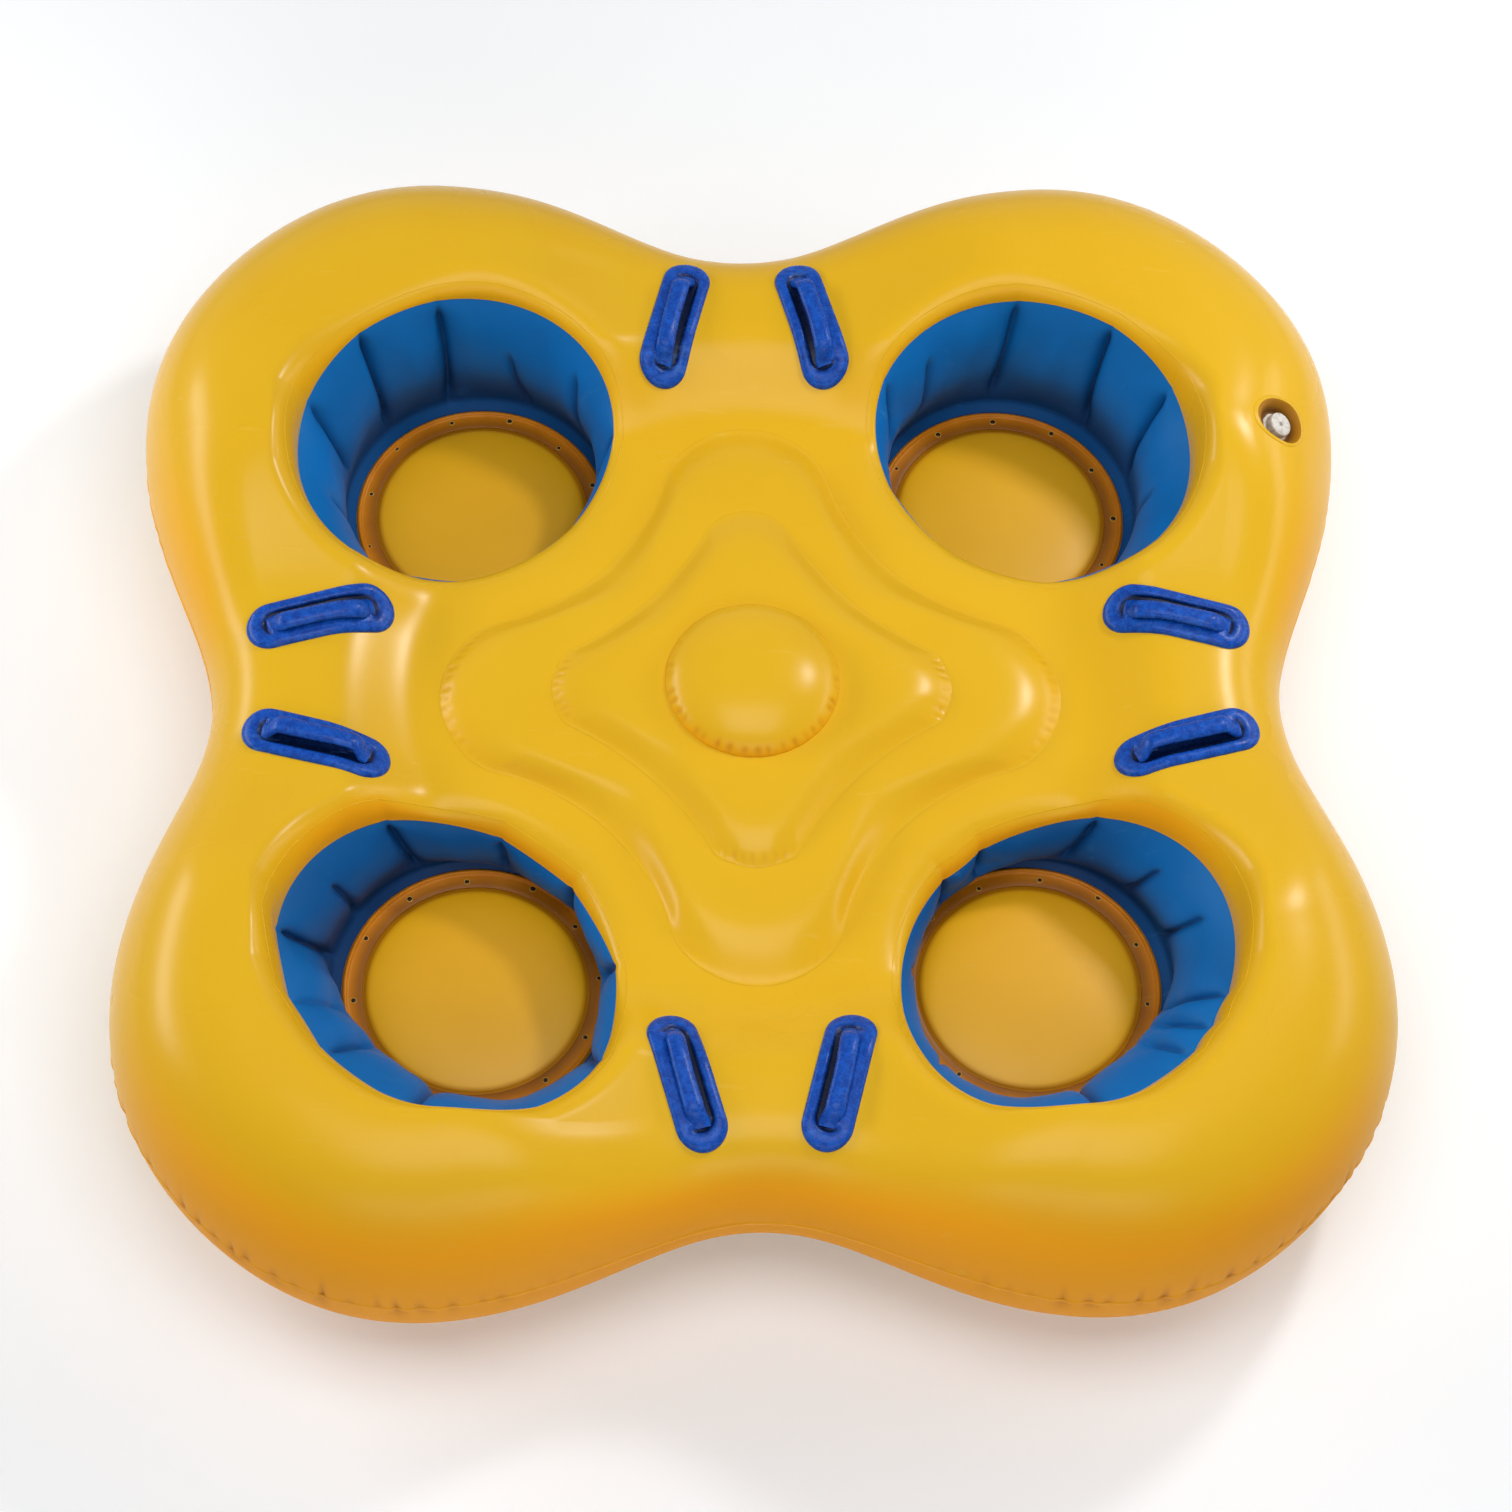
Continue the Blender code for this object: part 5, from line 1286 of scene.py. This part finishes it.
def makeWeb(arm, side):
    outer = crestPoint(0).x
    reaches = [outer + (web["inner"] - outer) * k / web["steps"] for k in range(web["steps"] + 1)]
    points, spin = [], Matrix.Rotation(quarterTurn * arm, 3, "Z")
    for level in (1, -1):
        for half in (web["half"], -web["half"]):
            points += [spin @ Vector((x, half, seamHeight + level * (hullRise(x, 0) - web["below"]))) for x in reaches]
    row = web["steps"] + 1
    sides = ((0, 1, row + 1, row), (2 * row, 2 * row + 1, 3 * row + 1, 3 * row), (0, 1, 2 * row + 1, 2 * row),
             (row, row + 1, 3 * row + 1, 3 * row))
    ends = (0, row, 3 * row, 2 * row)
    faces = [tuple(n + k for n in quad) for k in range(web["steps"]) for quad in sides]
    faces += [ends, tuple(n + web["steps"] for n in ends)]
    obj = newPiece("armTie_" + side, points, faces, yellowSheet)
    closeEnds(obj)
    settle(obj, ["arm_web_" + side])


for arm, side in enumerate(arms):
    makeWeb(arm, side)

# the solids that stay get their finish
kept = {"valve_body": valvePlastic, "valve_nut": valvePlastic, "valve_plunger": valvePlastic,
        "valve_guide": springSteel, "valve_spring": springSteel, "valve_seal": sealRubber,
        "valve_cap_gasket": sealRubber}
for node, material in kept.items():
    for materialSlot in frame["nodes"][node].material_slots:
        materialSlot.material = material


# floor, lamps and surroundings; worldSeen is how bright the background itself looks
stage = {"floor": (0.93, 0.945, 0.965), "floorReach": 20, "floorRoughness": 0.9, "floorGlow": 0.14, "world": 0.11,
         "worldSeen": 1.0, "worldColour": (0.90, 0.96, 1.0)}
lamps = {
    "overhead": {"place": (0.0, -0.9, 5.2), "aim": (0, 0, 0.2), "size": (3.4, 2.4), "power": 97},
    "leftStrip": {"place": (-4.0, 1.0, 1.95), "aim": (0, 0.2, 0.4), "size": (3.2, 0.85), "power": 80},
    "rightStrip": {"place": (4.0, 1.0, 2.25), "aim": (0, 0.2, 0.4), "size": (3.2, 0.85), "power": 42},
    "key": {"place": (2.75, 2.1, 3.95), "aim": (0, 0, 0.3), "size": (0.60, 0.60), "power": 76},
    "frontFill": {"place": (0.0, -4.4, 3.2), "aim": (0, 0, 0.25), "size": (4.5, 1.6), "power": 62},
}


def seenRays(tree):
    # 1 where the background itself is looked at, straight or in a glossy or clear surface
    ray = tree.nodes.new("ShaderNodeLightPath").outputs
    seen = mathNode(tree, "ADD", ray["Is Camera Ray"], ray["Is Glossy Ray"])
    return mathNode(tree, "MINIMUM", mathNode(tree, "ADD", seen, ray["Is Transmission Ray"]), 1)


def makeFloor():
    # a pale plane that glows a little where it is looked at, and is clear from below
    mesh, reach = bpy.data.meshes.new("floor"), stage["floorReach"]
    ends = [(-reach, -reach, 0), (reach, -reach, 0), (reach, reach, 0), (-reach, reach, 0)]
    mesh.from_pydata(ends, [], [(0, 1, 2, 3)])
    material, tree, shader = newMaterial("paleFloor")
    shader.inputs["Base Color"].default_value = (*stage["floor"], 1)
    shader.inputs["Roughness"].default_value = stage["floorRoughness"]
    shader.inputs["Specular IOR Level"].default_value = 0.0
    under = tree.nodes.new("ShaderNodeNewGeometry").outputs["Backfacing"]
    tree.links.new(mathNode(tree, "SUBTRACT", 1, under), shader.inputs["Alpha"])
    shader.inputs["Emission Color"].default_value = (1, 1, 1, 1)
    glow = mathNode(tree, "MULTIPLY", seenRays(tree), stage["floorGlow"])
    tree.links.new(glow, shader.inputs["Emission Strength"])
    mesh.materials.append(material)
    newObject("floor", mesh)


def makeWorld():
    world = bpy.data.worlds.new("studio")
    bpy.context.scene.world = world
    world.use_nodes = True
    tree = world.node_tree
    background = tree.nodes["Background"]
    colour = mixColours(tree, seenRays(tree), stage["worldColour"], (1, 1, 1))
    tree.links.new(colour, background.inputs["Color"])
    strength = rangeNode(tree, seenRays(tree), 0, 1, stage["world"], stage["worldSeen"])
    tree.links.new(strength, background.inputs["Strength"])


def makeLamp(name, look):
    light = bpy.data.lights.new(name, "AREA")
    light.shape = "RECTANGLE"
    light.size, light.size_y = look["size"]
    light.energy = look["power"]
    lamp = newObject(name, light)
    lamp.location = look["place"]
    lamp.rotation_euler = (Vector(look["aim"]) - Vector(look["place"])).to_track_quat("-Z", "Y").to_euler()


makeFloor()
makeWorld()
for name, look in lamps.items():
    makeLamp(name, look)
bpy.context.scene.view_settings.view_transform = "Standard"
print("stage set")
